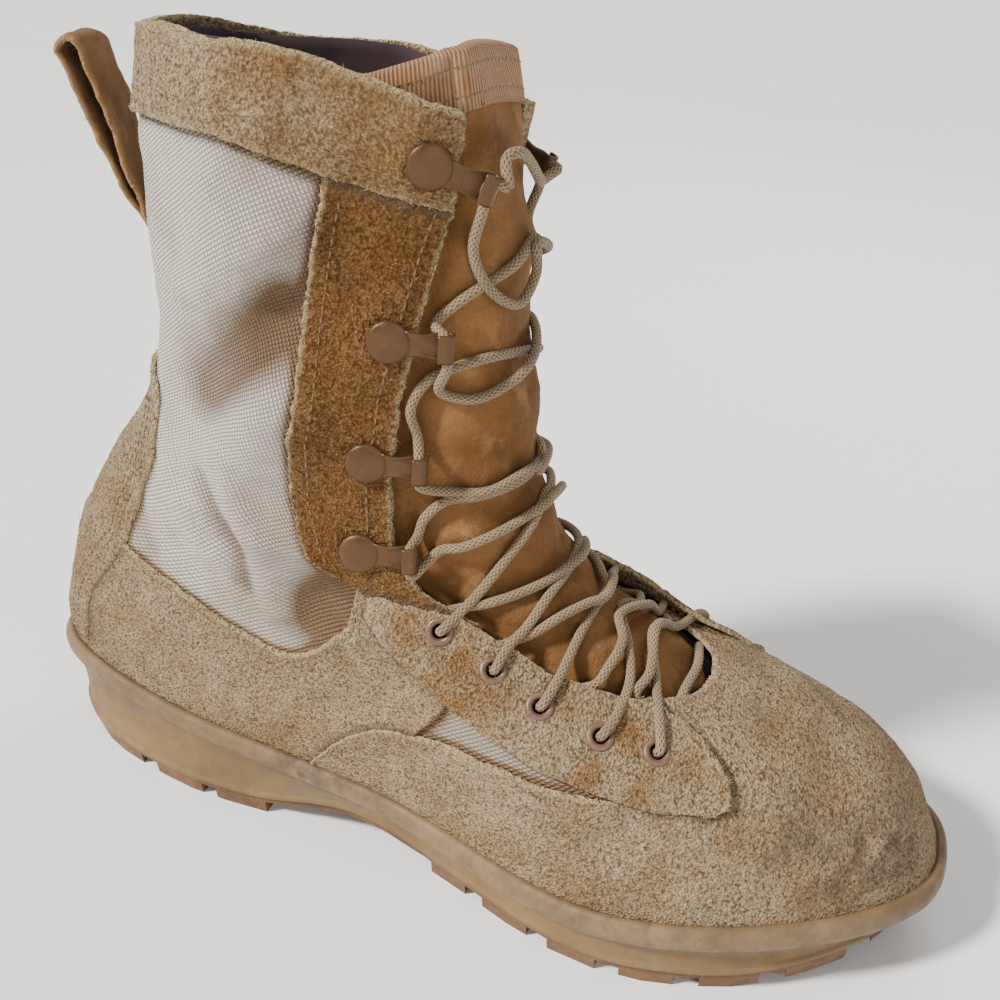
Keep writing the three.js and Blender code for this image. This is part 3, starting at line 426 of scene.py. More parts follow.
# materials: a Principled shader with the values that are the same all over
def newMaterial(name, roughness=.9, metallic=0.0, sheen=0.0, specular=.3):
    material = bpy.data.materials.new(name)
    material.use_nodes = True
    tree = material.node_tree
    shader = tree.nodes["Principled BSDF"]
    shader.inputs["Roughness"].default_value = roughness
    shader.inputs["Metallic"].default_value = metallic
    shader.inputs["Sheen Weight"].default_value = sheen
    shader.inputs["Sheen Roughness"].default_value = .6
    shader.inputs["Specular IOR Level"].default_value = specular
    return material, tree, shader


# adds a node: its settings by name, its inputs as values or as links from other nodes
def node(tree, kind, inputs=None, out=0, **settings):
    made = tree.nodes.new("ShaderNode" + kind)
    for key, value in settings.items():
        setattr(made, key, value)
    for key, value in (inputs or {}).items():
        if isinstance(value, bpy.types.NodeSocket):
            tree.links.new(value, made.inputs[key])
        else:
            made.inputs[key].default_value = value
    return made.outputs[out]


# Object coordinates, or the piece's own UV map
def place(tree, which="Object"):
    return node(tree, "TexCoord", out=which)


# fractal noise, its scale in waves per metre
def noise(tree, where, scale, detail=4.0, roughness=.6, distortion=0.0):
    return node(tree, "TexNoise", {"Vector": where, "Scale": scale, "Detail": detail,
                                   "Roughness": roughness, "Distortion": distortion})


# one step of arithmetic on two values
def calc(tree, how, a, b=0.0, clamp=False):
    return node(tree, "Math", {0: a, 1: b}, operation=how, use_clamp=clamp)


# low to high stretched to toLow to toHigh, and cut off at both
def spread(tree, value, low, high, toLow=0.0, toHigh=1.0):
    return node(tree, "MapRange", {"Value": value, "From Min": low, "From Max": high,
                                   "To Min": toLow, "To Max": toHigh})


# colour a where the share is 0, colour b where it is 1
def mix(tree, share, a, b):
    return node(tree, "Mix", {0: share, 6: a, 7: b}, out=2, data_type="RGBA")


# a value painted on the mesh: edge, tone or dirt
def mark(tree, label):
    return node(tree, "Attribute", out="Fac", attribute_name=label)


# bump from a height, its distance in mm, over an earlier bump where one is given
def bump(tree, shader, height, distance, strength=1.0, before=None):
    inputs = {"Height": height, "Distance": distance * mm, "Strength": strength}
    if before is not None:
        inputs["Normal"] = before
    made = node(tree, "Bump", inputs)
    tree.links.new(made, shader.inputs["Normal"])
    return made


# linear colour with full alpha
def rgb(r, g, b):
    return (r, g, b, 1.0)


suedeLook = {
    "tan": rgb(.41, .305, .18),
    "olive": rgb(.31, .235, .14),
    "rust": rgb(.26, .135, .05),
    "pitShade": rgb(.12, .072, .036),
    "fleck": rgb(.66, .56, .38),
    "raw": rgb(.60, .47, .27),
    "smudgeAndShade": rgb(.11, .078, .055),
}


# rough-out suede: tan, olive and rust in clouds under a nap whose grain is coarse noise less
# rounded cells; painted shade darkens its pits and it is pale on the tufts; smudges and painted shade
# darken it where the dirt-and-shade mark says, and it is pale where the edge mark says
def suede(name, look=suedeLook):
    material, tree, shader = newMaterial(name, .95, sheen=.04, specular=.06)
    shader.inputs["Sheen Tint"].default_value = rgb(.9, .75, .5)
    where = place(tree)
    blotch = noise(tree, where, 34, 5, .6)
    tone = calc(tree, "ADD", mark(tree, "tone"), spread(tree, blotch, .3, .7, -.3, .3), True)
    colour = mix(tree, spread(tree, noise(tree, where, 75, 4), .35, .65), look["tan"], look["olive"])
    colour = mix(tree, tone, colour, look["rust"])
    coarse = noise(tree, where, 700, 4, .62)
    fine = noise(tree, where, 2400, 3, .6)
    crumbs = node(tree, "TexVoronoi", {"Vector": where, "Scale": 1250.0, "Smoothness": .5},
                  feature="SMOOTH_F1")
    grain = calc(tree, "SUBTRACT", calc(tree, "ADD", coarse, .25), calc(tree, "MULTIPLY", crumbs, .6))
    # painted shade in the pits of the nap, where the grain is low
    colour = mix(tree, spread(tree, grain, .47, .22, 0, .85), colour, look["pitShade"])
    fleck = calc(tree, "MULTIPLY", spread(tree, grain, .48, .7), spread(tree, tone, 0, 1, .5, .26))
    colour = mix(tree, fleck, colour, look["fleck"])
    # smudges and painted shade where the dirt-and-shade mark says: painted shade beside the seams and on the
    # inner sheets
    dirtAndShade = calc(tree, "MULTIPLY", mark(tree, "dirtAndShade"), spread(tree, coarse, .3, .6, 1.0, .55), True)
    colour = mix(tree, dirtAndShade, colour, look["smudgeAndShade"])
    edge = calc(tree, "MULTIPLY", mark(tree, "edge"), spread(tree, coarse, .38, .55, .2, .85), True)
    colour = mix(tree, edge, colour, look["raw"])
    tree.links.new(colour, shader.inputs["Base Color"])
    height = calc(tree, "ADD", grain, calc(tree, "MULTIPLY", fine, .3))
    soft = bump(tree, shader, noise(tree, where, 170, 4), 1.8, .6)
    bump(tree, shader, height, 2.3, 1.0, soft)
    return material


clothLook = {
    "yarn": rgb(.93, .88, .79),
    "shade": rgb(.58, .46, .33),
    "gap": rgb(.34, .24, .15),
    "grimeAndShade": rgb(.22, .13, .065),
    "cell": 1.35,
    "turn": .5,
    "depth": 1.428,
}


# basket weave, its cell and depth in mm: a yarn's hump is |sin across * sin along| ** .7, the whole
# turned on the cloth; painted shade between the yarns, grimy in clouds, and grime and painted shade
# where the dirt-and-shade mark says
def clothWeave(name, look=clothLook):
    material, tree, shader = newMaterial(name, .8, sheen=.05, specular=.2)
    uv = node(tree, "Mapping", {"Vector": place(tree, "UV"), "Rotation": (0, 0, look["turn"])})
    sway = noise(tree, place(tree), 120, 2)
    apart = node(tree, "SeparateXYZ", {0: uv})
    acrossCloth, upCloth = apart.node.outputs[0], apart.node.outputs[1]
    turns = np.pi / (look["cell"] * mm)
    wander = calc(tree, "MULTIPLY", sway, .8)
    a = calc(tree, "SINE", calc(tree, "ADD", calc(tree, "MULTIPLY", acrossCloth, turns), wander))
    b = calc(tree, "SINE", calc(tree, "MULTIPLY", upCloth, turns * 1.15))
    hump = calc(tree, "MULTIPLY", a, b)
    height = calc(tree, "POWER", calc(tree, "ABSOLUTE", hump), .7)
    lint = noise(tree, place(tree, "UV"), 3200, 2)
    blotch = noise(tree, place(tree), 30, 4, .6)
    colour = mix(tree, spread(tree, blotch, .48, 1.0), look["yarn"], look["grimeAndShade"])
    colour = mix(tree, calc(tree, "MULTIPLY", lint, .22), colour, look["shade"])
    # painted shade in the gaps between the yarns
    colour = mix(tree, spread(tree, height, .5, .02, 0, .5), colour, look["gap"])
    # grime and painted shade where the dirt-and-shade mark says
    colour = mix(tree, calc(tree, "MULTIPLY", mark(tree, "dirtAndShade"), .9, True), colour, look["grimeAndShade"])
    tree.links.new(colour, shader.inputs["Base Color"])
    relief = calc(tree, "ADD", height, calc(tree, "MULTIPLY", lint, .2))
    bump(tree, shader, relief, look["depth"], 1.0)
    return material


nubuckLook = {
    "light": rgb(.25, .12, .042),
    "dark": rgb(.105, .044, .013),
    "rub": rgb(.36, .205, .09),
    "stainAndShade": rgb(.10, .06, .04),
    "pebble": .5,
}


# smooth nubuck: soft brown clouds, rubbed paler in patches and at the edges, a fine pebble in mm with
# painted shade in its hollows, and smudges and painted shade where the dirt-and-shade mark says
def nubuck(name, look=nubuckLook):
    material, tree, shader = newMaterial(name, .85, sheen=.05, specular=.12)
    shader.inputs["Sheen Tint"].default_value = rgb(.9, .7, .45)
    where = place(tree)
    cloud = noise(tree, where, 28, 5, .6, .3)
    grain = noise(tree, where, 900, 4, .6)
    rub = noise(tree, where, 75, 6, .7)
    colour = mix(tree, spread(tree, cloud, .32, .68), look["dark"], look["light"])
    colour = mix(tree, spread(tree, rub, .52, .78, 0, .7), colour, look["rub"])
    # painted shade in the hollows of the pebble
    colour = mix(tree, spread(tree, grain, .45, .3, 0, .45), colour, look["stainAndShade"])
    colour = mix(tree, calc(tree, "MULTIPLY", mark(tree, "edge"), .7, True), colour, look["rub"])
    # smudges and painted shade where the dirt-and-shade mark says
    colour = mix(tree, calc(tree, "MULTIPLY", mark(tree, "dirtAndShade"), .6, True), colour, look["stainAndShade"])
    tree.links.new(colour, shader.inputs["Base Color"])
    soft = bump(tree, shader, rub, .8, .4)
    bump(tree, shader, grain, look["pebble"], 1.0, soft)
    return material


# plain woven lining: the product of two sine waves in x + y and in z, paler where it is worn
def liningCloth(name, light, dark, threads):
    material, tree, shader = newMaterial(name, .9, sheen=.06, specular=.15)
    where = place(tree)
    apart = node(tree, "SeparateXYZ", {0: where})
    across, up = apart.node.outputs[0], apart.node.outputs[2]
    lengthways = calc(tree, "ADD", across, apart.node.outputs[1])
    weave = calc(tree, "MULTIPLY", calc(tree, "SINE", calc(tree, "MULTIPLY", lengthways, threads)),
                 calc(tree, "SINE", calc(tree, "MULTIPLY", up, threads)))
    wear = noise(tree, where, 60, 5)
    # painted shade in the hollows of the weave, dark where it is low
    colour = mix(tree, spread(tree, weave, -1, 1), dark, light)
    colour = mix(tree, spread(tree, wear, .5, .8, 0, .5), colour, light)
    tree.links.new(colour, shader.inputs["Base Color"])
    bump(tree, shader, calc(tree, "ADD", weave, wear), .2, .8)
    return material


# tape with ribs across it: a sine wave along its length, broken by fine threads; rib in mm
def ribbedTape(name, light, dark, worn, rib=1.25):
    material, tree, shader = newMaterial(name, .85, sheen=.2, specular=.2)
    apart = node(tree, "SeparateXYZ", {0: place(tree, "UV")})
    ribs = calc(tree, "SINE", calc(tree, "MULTIPLY", apart.node.outputs[0], 2 * np.pi / (rib * mm)))
    threads = calc(tree, "SINE", calc(tree, "MULTIPLY", apart.node.outputs[1], 2 * np.pi / (.5 * mm)))
    wear = noise(tree, place(tree), 90, 5)
    # painted shade in the troughs between the ribs
    colour = mix(tree, spread(tree, ribs, -1, .4), dark, light)
    colour = mix(tree, spread(tree, wear, .5, .75, 0, .6), colour, worn)
    tree.links.new(colour, shader.inputs["Base Color"])
    bump(tree, shader, calc(tree, "ADD", ribs, calc(tree, "MULTIPLY", threads, .25)), .3, 1.0)
    return material


# moulded rubber: two close colours in clouds, fine grain, scuffs where the mark says
def rubber(name, light, dark, scuff, grain=900, roughness=.62):
    material, tree, shader = newMaterial(name, roughness, specular=.35)
    where = place(tree)
    cloud = noise(tree, where, 35, 5, .6)
    streak = noise(tree, where, 160, 6, .7)
    speck = noise(tree, where, grain, 3, .6)
    colour = mix(tree, spread(tree, cloud, .35, .65), dark, light)
    colour = mix(tree, spread(tree, streak, .52, .72, 0, .5), colour, dark)
    colour = mix(tree, spread(tree, speck, .56, .72, 0, .35), colour, scuff)
    scuffed = calc(tree, "MULTIPLY", mark(tree, "dirtAndShade"), spread(tree, streak, .4, .6), True)
    colour = mix(tree, scuffed, colour, scuff)
    tree.links.new(colour, shader.inputs["Base Color"])
    tree.links.new(spread(tree, streak, .3, .7, roughness - .1, roughness + .2), shader.inputs["Roughness"])
    soft = bump(tree, shader, streak, .25, .5)
    bump(tree, shader, speck, .14, 1.0, soft)
    return material


# painted metal: a coat in two close browns, rubbed pale on the noise's peaks and dirty in its hollows
def paintedMetal(name, dark, light, chip, dirtAndShade=rgb(.09, .05, .035)):
    material, tree, shader = newMaterial(name, .42, metallic=.45, specular=.35)
    where = place(tree)
    cloud = noise(tree, where, 220, 5, .6)
    chips = noise(tree, where, 700, 4, .7)
    colour = mix(tree, cloud, dark, light)
    colour = mix(tree, spread(tree, chips, .62, .74, 0, .4), colour, chip)
    colour = mix(tree, spread(tree, chips, .38, .3, 0, .7), colour, dirtAndShade)
    tree.links.new(colour, shader.inputs["Base Color"])
    tree.links.new(spread(tree, cloud, .3, .7, .34, .6), shader.inputs["Roughness"])
    bump(tree, shader, calc(tree, "ADD", cloud, chips), .12, .7)
    return material


# braid: strands winding both ways round the cord, the higher of sin(turn + run) and
# sin(turn - run); pitch in mm
def braid(name, light, dark, fluff, around, pitch):
    material, tree, shader = newMaterial(name, .8, sheen=.2, specular=.25)
    apart = node(tree, "SeparateXYZ", {0: place(tree, "UV")})
    turn = calc(tree, "MULTIPLY", apart.node.outputs[0], 2 * np.pi * around)
    run = calc(tree, "MULTIPLY", apart.node.outputs[1], 2 * np.pi / (pitch * mm))
    a = calc(tree, "SINE", calc(tree, "ADD", turn, run))
    b = calc(tree, "SINE", calc(tree, "SUBTRACT", turn, run))
    strands = calc(tree, "MAXIMUM", a, b)
    lint = noise(tree, place(tree), 1500, 3)
    blotch = noise(tree, place(tree), 70, 4)
    # painted shade between the strands, where they are low
    colour = mix(tree, spread(tree, strands, -.1, .8), dark, light)
    colour = mix(tree, spread(tree, blotch, .4, .7, 0, .45), colour, dark)
    colour = mix(tree, spread(tree, lint, .55, .7, 0, .3), colour, fluff)
    tree.links.new(colour, shader.inputs["Base Color"])
    bump(tree, shader, calc(tree, "ADD", strands, calc(tree, "MULTIPLY", lint, .5)), .35, 1.0)
    return material


# thread and loose fibres: one colour that wanders from fibre to fibre
def thread(name, light, dark):
    material, tree, shader = newMaterial(name, .85, sheen=.2, specular=.2)
    where = place(tree)
    colour = mix(tree, noise(tree, where, 260, 3), dark, light)
    tree.links.new(colour, shader.inputs["Base Color"])
    bump(tree, shader, noise(tree, where, 2500, 2), .08, .6)
    return material


# the hook stays' suede: darker and more orange-brown, partly their own colour and partly painted shade of the
# shaft's front
stayLook = dict(suedeLook, tan=rgb(.22, .115, .042), olive=rgb(.17, .085, .03), rust=rgb(.16, .066, .018),
                pitShade=rgb(.07, .03, .01), fleck=rgb(.42, .26, .11))
strapLook = dict(nubuckLook, light=rgb(.20, .10, .04), dark=rgb(.095, .045, .018), rub=rgb(.30, .18, .09),
                 pebble=.6)
suedeSkin = suede("suedeSkin")
suedeStay = suede("suedeStay", stayLook)
nylonCloth = clothWeave("nylonCloth")
nubuckSkin = nubuck("nubuckSkin")
strapSkin = nubuck("strapSkin", strapLook)
webbing = ribbedTape("webbing", rgb(.42, .20, .075), rgb(.19, .08, .026), rgb(.56, .38, .22))
# the lining: a dark purple cloth, darkened further as painted shade of the boot's inside
lining = liningCloth("liningCloth", rgb(.07, .042, .046), rgb(.028, .016, .022), 9000)
footbed = liningCloth("footbedCloth", rgb(.22, .16, .11), rgb(.10, .07, .05), 1900)
wallRubber = rubber("wallRubber", rgb(.22, .135, .05), rgb(.135, .078, .027), rgb(.10, .095, .09))
beadRubber = rubber("beadRubber", rgb(.23, .15, .075), rgb(.14, .088, .04), rgb(.085, .06, .04),
                    roughness=.55)
treadRubber = rubber("treadRubber", rgb(.17, .085, .035), rgb(.09, .045, .02), rgb(.30, .20, .12), 700)
hookMetal = paintedMetal("hookMetal", rgb(.055, .027, .012), rgb(.145, .072, .03), rgb(.27, .155, .08))
eyeletMetal = paintedMetal("eyeletMetal", rgb(.12, .065, .045), rgb(.25, .155, .115), rgb(.40, .29, .23))
laceBraid = braid("laceBraid", rgb(.36, .25, .125), rgb(.18, .11, .05), rgb(.52, .42, .27), 8, 1.9)
sewing = thread("sewingThread", rgb(.22, .14, .065), rgb(.10, .06, .025))
looseNap = thread("looseNap", rgb(.60, .47, .29), rgb(.34, .23, .11))
print("materials ready")

# camera: above and beside the toe, on the outer side; place and lens in mm, angles in degrees
camera = {"place": (102.0, -281.5, 285.5), "yaw": 108.19, "pitch": -27.91, "roll": 3.21, "lens": 39.47}


# looks along (cos pitch cos yaw, cos pitch sin yaw, sin pitch), then rolls about that line
def makeCamera():
    yaw, pitch, roll = [np.radians(camera[k]) for k in ("yaw", "pitch", "roll")]
    ahead = Vector((np.cos(pitch) * np.cos(yaw), np.cos(pitch) * np.sin(yaw), np.sin(pitch)))
    right = ahead.cross(Vector((0, 0, 1))).normalized()
    up = right.cross(ahead)
    tiltedRight = right * np.cos(roll) + up * np.sin(roll)
    tiltedUp = up * np.cos(roll) - right * np.sin(roll)
    turned = Matrix((tiltedRight, tiltedUp, -ahead)).transposed().to_4x4()
    data = bpy.data.cameras.new("camera")
    data.lens, data.sensor_width = camera["lens"], 36
    data.clip_start = .01
    holder = bpy.data.objects.new("camera", data)
    holder.matrix_world = Matrix.Translation(Vector(camera["place"]) * mm) @ turned
    bpy.context.scene.collection.objects.link(holder)
    bpy.context.scene.camera = holder


makeCamera()


# point on the creased last, moved out along its normal by lift
def onBoot(angle, height, lift=0.0):
    base = surfaceAt(angle, height)
    return base + normalAt(angle, height) * (lift + reliefAt(base, np.asarray(height)))[..., None]


# puts a piece on the boot's body, in place of CAD nodes if it has any; the slot name is not used
def onBody(piece, slotName, *nodes):
    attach(piece, "root")
    if nodes:
        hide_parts(*nodes)
    return piece


# tongue's own shape: tucked under the facings, swelling out of the throat
tongue = {
    "bottom": 3.55,
    "top": 11.75,
    "tuck": .26,
    "thick": 4,
    "swell": 6,
    "under": -4.2,
    "wing": .34,
    "wingFrom": 9.2,
    "wingSpan": 2.5,
    "lean": 14,
    "leanFrom": 9.8,
    "leanSpan": 1.95,
    "leanWings": .25,
    "leanTurn": .45,
    "dropFrom": 10.2,
    "drop": .55,
}
# its folds, in the creases' own form
tongueFolds = [
    ([(-2.5, 8.15), (-2.85, 8.2), (-3.14, 8.1), (-3.6, 8.15)], 8, 2.2),
    ([(-2.5, 8.75), (-3.14, 8.7), (-3.8, 8.8)], 5, -1.3),
    ([(-2.6, 9.7), (-3.14, 9.6), (-3.7, 9.6)], 9, 1.2),
    ([(-2.35, 7.3), (-2.8, 7.15), (-3.14, 7.25), (-3.8, 7.2)], 5, -1.8),
    ([(-2.4, 6.75), (-3.14, 6.7), (-3.8, 6.7)], 5, 1.3),
    ([(-2.3, 6.3), (-2.8, 6.1), (-3.14, 6.2), (-3.9, 6.2)], 4, -1.6),
    ([(-2.5, 5.75), (-3.14, 5.7), (-3.7, 5.7)], 5, 1.2),
    ([(-2.6, 5.2), (-3.14, 5.1), (-3.6, 5.2)], 4, -1.2),
    ([(-2.62, 9.3), (-2.8, 10.2), (-2.75, 10.9)], 4, -1.0),
    ([(-2.95, 7.6), (-2.75, 8.1), (-2.6, 8.5)], 3, -.8),
]


# how far the tongue's face stands from the last, at a turn from the front: under + swell * (1 - the
# fourth power of its share of the opening) + folds
def tongueLift(turn, height):
    opening = np.pi - throatAngle(np.clip(height, 4.5, collar))
    clear = np.maximum(1 - (np.abs(turn) / (opening * .92)) ** 4, 0)
    rise = np.clip((height - 4.12) / .6, 0, 1)
    base = surfaceAt(np.pi - turn, height)
    folds = (creaseField(base, tongueFolds) + .3 * ripple(base, 17, 61) + .12 * ripple(base, 6, 62)) * clear
    return tongue["under"] + tongue["swell"] * clear * rise + folds


# how far the tongue's top leans back into the shaft: growing with height, most in the middle
def leanBack(turn, height):
    rise = np.maximum(height - tongue["leanFrom"], 0) / tongue["leanSpan"]
    middle = np.exp(-(turn / tongue["leanTurn"]) ** 2)
    return tongue["lean"] * rise * (tongue["leanWings"] + (1 - tongue["leanWings"]) * middle)


# half of the tongue's spread, in turn from the front, wings included
def tongueReach(height):
    wing = tongue["wing"] * np.clip((height - tongue["wingFrom"]) / tongue["wingSpan"], 0, 1)
    return np.pi - throatAngle(np.clip(height, 4.5, collar)) + tongue["tuck"] + wing


# lace: through the eyelets from below, across the tongue, through the hooks
lace = {"thick": 3.0, "sides": 12, "step": .9, "clear": .48, "crown": 2.9, "facing": 4.3}
# hook: the strap turned about the rivet by each spin, the rest in mm
hook = {"disc": 6, "head": 1.5, "reach": 17.5, "width": 7.5, "sheet": .9, "rise": 4.4, "curl": 4,
        "seat": 2.7, "spin": (.02, -.02, -.02, -.31)}
stops = eyelets + hooks


# axes of a fitting on the boot: forward along it, across, and outward
def fittingFrame(angle, height, spin=0.0):
    normal = normalAt(np.array(angle), np.array(height))
    side = -1 if angle > 0 else 1
    forward = unit(np.cross([0, 0, 1], normal)) * side
    forward = np.cos(side * spin) * forward + np.sin(side * spin) * np.cross(normal, forward)
    return np.array([forward, np.cross(normal, forward), normal])


# point beside a hook, in mm along its strap, out from the leather and up the boot
def hookPoint(i, sign, ahead, rise, upward):
    angle, height = hooks[i][:2]
    axes = fittingFrame(sign * angle, height, hook["spin"][i])
    seat = onBoot(np.array(sign * angle), np.array(height), hook["seat"])
    return seat + axes[0] * ahead + axes[2] * rise - sign * axes[1] * upward


# point over the front of the boot, at a turn from its middle; negative turns are on the outer side
def overFront(turn, height, lift):
    return onBoot(np.array(np.pi - turn), np.array(height), lift)


# where the strands lie, as turn from the front on their own side and height: leaving each
# stop up to the crest of the tongue, and coming down from the crest to the next stop
leaving = [
    [(.6, 3.82), (.3, 4.43), (0, 4.82)],
    [(.73, 3.92), (.41, 4.55), (.17, 4.94), (-.05, 5.25)],
    [(.75, 4.57), (.36, 5.31), (.11, 5.51), (-.05, 5.52)],
    [(.78, 5.18), (.6, 5.53), (.33, 5.95), (.03, 6.11)],
    [(.88, 5.69), (.71, 6.08), (.47, 6.58), (.24, 6.92), (-.03, 7.07)],
    [(.96, 6.72), (.9, 7.0), (.75, 7.27), (.54, 7.36), (.23, 7.45), (-.05, 7.45)],
    [(.88, 7.94), (.9, 8.25), (.77, 8.55), (.47, 8.74), (.03, 8.67)],
    [(.71, 9.06), (.54, 9.28), (.17, 9.56), (-.03, 9.72)],
]
arriving = [
    [(.28, 4.56), (.46, 4.38)],
    [(.2, 5.02), (.46, 4.74), (.6, 4.55)],
    [(.16, 5.62), (.37, 5.62), (.6, 5.42)],
    [(.2, 6.15), (.45, 6.08), (.7, 5.9)],
    [(.11, 7.06), (.46, 6.94), (.72, 6.72), (.86, 6.58)],
    [(.12, 7.55), (.48, 7.42), (.74, 7.38)],
    [(.2, 8.55), (.5, 8.4), (.72, 8.45)],
    [(.03, 9.42), (.15, 9.2), (.29, 9.27), (.41, 9.47), (.46, 9.75)],
]
innerSlack = [(.12, 9.62), (.3, 9.5), (.42, 9.75)]  # the last strand, coming down to the inner top hook


# lift of the lace's middle: a smooth step from the tongue's face to the facing at the throat's edge
def laceLift(turn, height):
    onTongue = tongueLift(turn, height) + lace["thick"] / 2 + lace["clear"]
    facing = 1 / (1 + np.exp(-(np.abs(turn) - .93 * (np.pi - throatAngle(height))) / .035))
    return onTongue * (1 - facing) + lace["facing"] * facing


# one strand from a stop to the next on the other side, as points from mouth to mouth; the strands
# that start on the inner side ride over the others by a crown on the tongue's middle
def strand(i, sign):
    here, there = stops[i], stops[i + 1]
    points = []
    if i < len(eyelets):
        turn = sign * (np.pi - here[0])
        points += [overFront(turn, here[1], .3), overFront(turn - sign * .02, here[1] + .05, 3.9)]
    else:
        points += [hookPoint(i - len(eyelets), sign, hook["reach"] - 2.6, 2.2, up) for up in (-2.5, 2.5)]
    down = innerSlack if i == len(stops) - 2 and sign < 0 else arriving[i]
    spots = [(sign * t, h) for t, h in leaving[i]] + [(-sign * t, h) for t, h in down]
    turns, heights = np.array(spots).T
    crown = (lace["crown"] if sign > 0 else 0) * np.exp(-(turns / .3) ** 2)
    lifts = laceLift(turns, heights) + crown
    points += list(overFront(turns, heights, lifts))
    if i + 1 < len(eyelets):
        turn = -sign * (np.pi - there[0])
        edge = np.pi - float(throatAngle(there[2]))
        points += [overFront(-sign * (edge + .06), (there[2] * 2 + there[1]) / 3, -3.6),
                   overFront(turn, there[1], -4.3)]
    else:
        points += [hookPoint(i + 1 - len(eyelets), -sign, hook["reach"] - 1.6, 1.8, -5.5)]
    return points


# rounded path through points: cubic pieces with slopes from the neighbours, spaced by the root of
# each chord, then read off at even steps
def roundedPath(points, step):
    points = np.array(points, float)
    at = np.concatenate([[0], np.cumsum(np.sqrt(np.linalg.norm(np.diff(points, axis=0), axis=1)))])
    fine = np.linspace(0, at[-1], len(points) * 40)
    line = np.stack([cubic(at, points[:, k], fine) for k in range(3)], 1)
    run = runOf(line)
    return alongLine(np.linspace(0, run[-1], max(int(run[-1] / step), 8)), run, line)


# two fans that close the first and last ring of a tube, to the points numbered after its grid
def endFans(rings, sides, tips):
    k, far = np.arange(sides), (rings - 1) * sides
    return np.concatenate([np.stack([k, (k + 1) % sides, np.full(sides, tips)], 1),
                           np.stack([far + (k + 1) % sides, far + k, np.full(sides, tips + 1)], 1)])


# round tube: rings square to the path, each turned on from the last so the cord never twists
def tubePiece(name, path, radius, sides, material):
    tangent = unit(np.gradient(path, axis=0))
    spoke = unit(np.cross(tangent[0], [.3, .5, .8]))
    spokes = []
    for way in tangent:
        spoke = spoke - way * (spoke @ way)
        spoke = spoke / np.linalg.norm(spoke)
        spokes.append(spoke)
    spokes = np.array(spokes)
    other = np.cross(tangent, spokes)
    turn = np.arange(sides) / sides * 2 * np.pi
    ring = spokes[:, None] * np.cos(turn)[None, :, None] + other[:, None] * np.sin(turn)[None, :, None]
    count = len(path)
    verts = np.concatenate([(path[:, None] + radius * ring).reshape(-1, 3), path[[0, -1]]])
    quads = gridQuads(count, sides, closedColumns=True)
    caps = endFans(count, sides, count * sides)
    run = runOf(path) * mm
    u = np.arange(sides + 1) / sides
    grid = np.stack(np.broadcast_arrays(u[None, :], run[:, None]), -1)
    quadUv = np.stack([grid[:-1, :-1], grid[1:, :-1], grid[1:, 1:], grid[:-1, 1:]], 2).reshape(-1, 4, 2)
    return makeObject(name, verts, [quads, caps], material, loopUv=[quadUv, np.zeros((len(caps), 3, 2))])


# half of the lace, from the middle of the lowest bar, changing sides at every stop
def laceHalf(sign):
    turn = sign * (np.pi - eyelets[0][0])
    points = [overFront(sign * .2, 4.24, -.6), overFront(sign * .45, 3.95, -3.8),
              overFront(turn, eyelets[0][1], -4.3)]
    for i in range(len(stops) - 1):
        points += strand(i, sign)
        sign = -sign
    last = len(hooks) - 1
    for ahead, upward in ((-2.6, -1.5), (-2.2, 1.6), (2.4, 1.95)):
        points.append(hookPoint(last, sign, hook["reach"] + ahead, 2.2, upward))
    return points


barMiddle = [overFront(0.0, 4.27, .3)]
lateralHalf, medialHalf = laceHalf(-1), laceHalf(1)
lacePath = roundedPath(medialHalf[::-1] + barMiddle + lateralHalf, lace["step"])
laceRun = tubePiece("laceRun", lacePath, lace["thick"] / 2, lace["sides"], laceBraid)
onBody(laceRun, "lace_cord", "lace_bar", *["lace_crossing_%d" % (i + 1) for i in range(len(stops) - 1)])

# the loose end: up from the outer top hook, over the tongue, to the inner one
endRoute = [(-.35, 10.7, 5), (-.23, 10.76, 4.2), (-.06, 10.62, 3.4), (.1, 10.35, 3.6), (.28, 10.25, 4.2)]
outerTop, innerTop = sorted((lateralHalf[-1], medialHalf[-1]), key=lambda point: point[1])
endPath = roundedPath([outerTop, *[overFront(*spot) for spot in endRoute], innerTop], lace["step"])
laceEnd = tubePiece("laceEnd", endPath, lace["thick"] / 2, lace["sides"], laceBraid)
onBody(laceEnd, "lace_cord", "lace_end")


# metal fittings: a profile turned about its own axis; the ends on the axis are closed by fans
def lathe(profile, sides, closed=False):
    profile = np.array(profile, float)
    turn = np.arange(sides) / sides * 2 * np.pi
    ring = np.stack([np.cos(turn), np.sin(turn), np.ones(sides)], -1)
    verts = (profile[:, None, [0, 0, 1]] * ring[None]).reshape(-1, 3)
    quads = gridQuads(len(profile), sides, closed, True)
    if closed:
        return verts, [quads]
    poles = np.array([[0, 0, profile[0, 1]], [0, 0, profile[-1, 1]]])
    return np.concatenate([verts, poles]), [quads, endFans(len(profile), sides, len(verts))]


# several solids as one object, each already in its place
def joined(name, solids, material):
    verts, quads, fans, start = [], [], [], 0
    for points, faces in solids:
        if sum(signedVolume(points - points.mean(0), f) for f in faces) < 0:
            faces = [f[:, ::-1] for f in faces]
        verts.append(points)
        for f in faces:
            (quads if f.shape[1] == 4 else fans).append(f + start)
        start += len(points)
    groups = [np.concatenate(g) for g in (quads, fans) if g]
    return makeObject(name, np.concatenate(verts), groups, material)


# a solid stood on the boot: its own axes laid along the fitting's
def standing(solid, angle, height, lift, spin=0.0):
    points, faces = solid
    axes = fittingFrame(angle, height, spin)
    return points @ axes + onBoot(np.array(angle), np.array(height), lift), faces


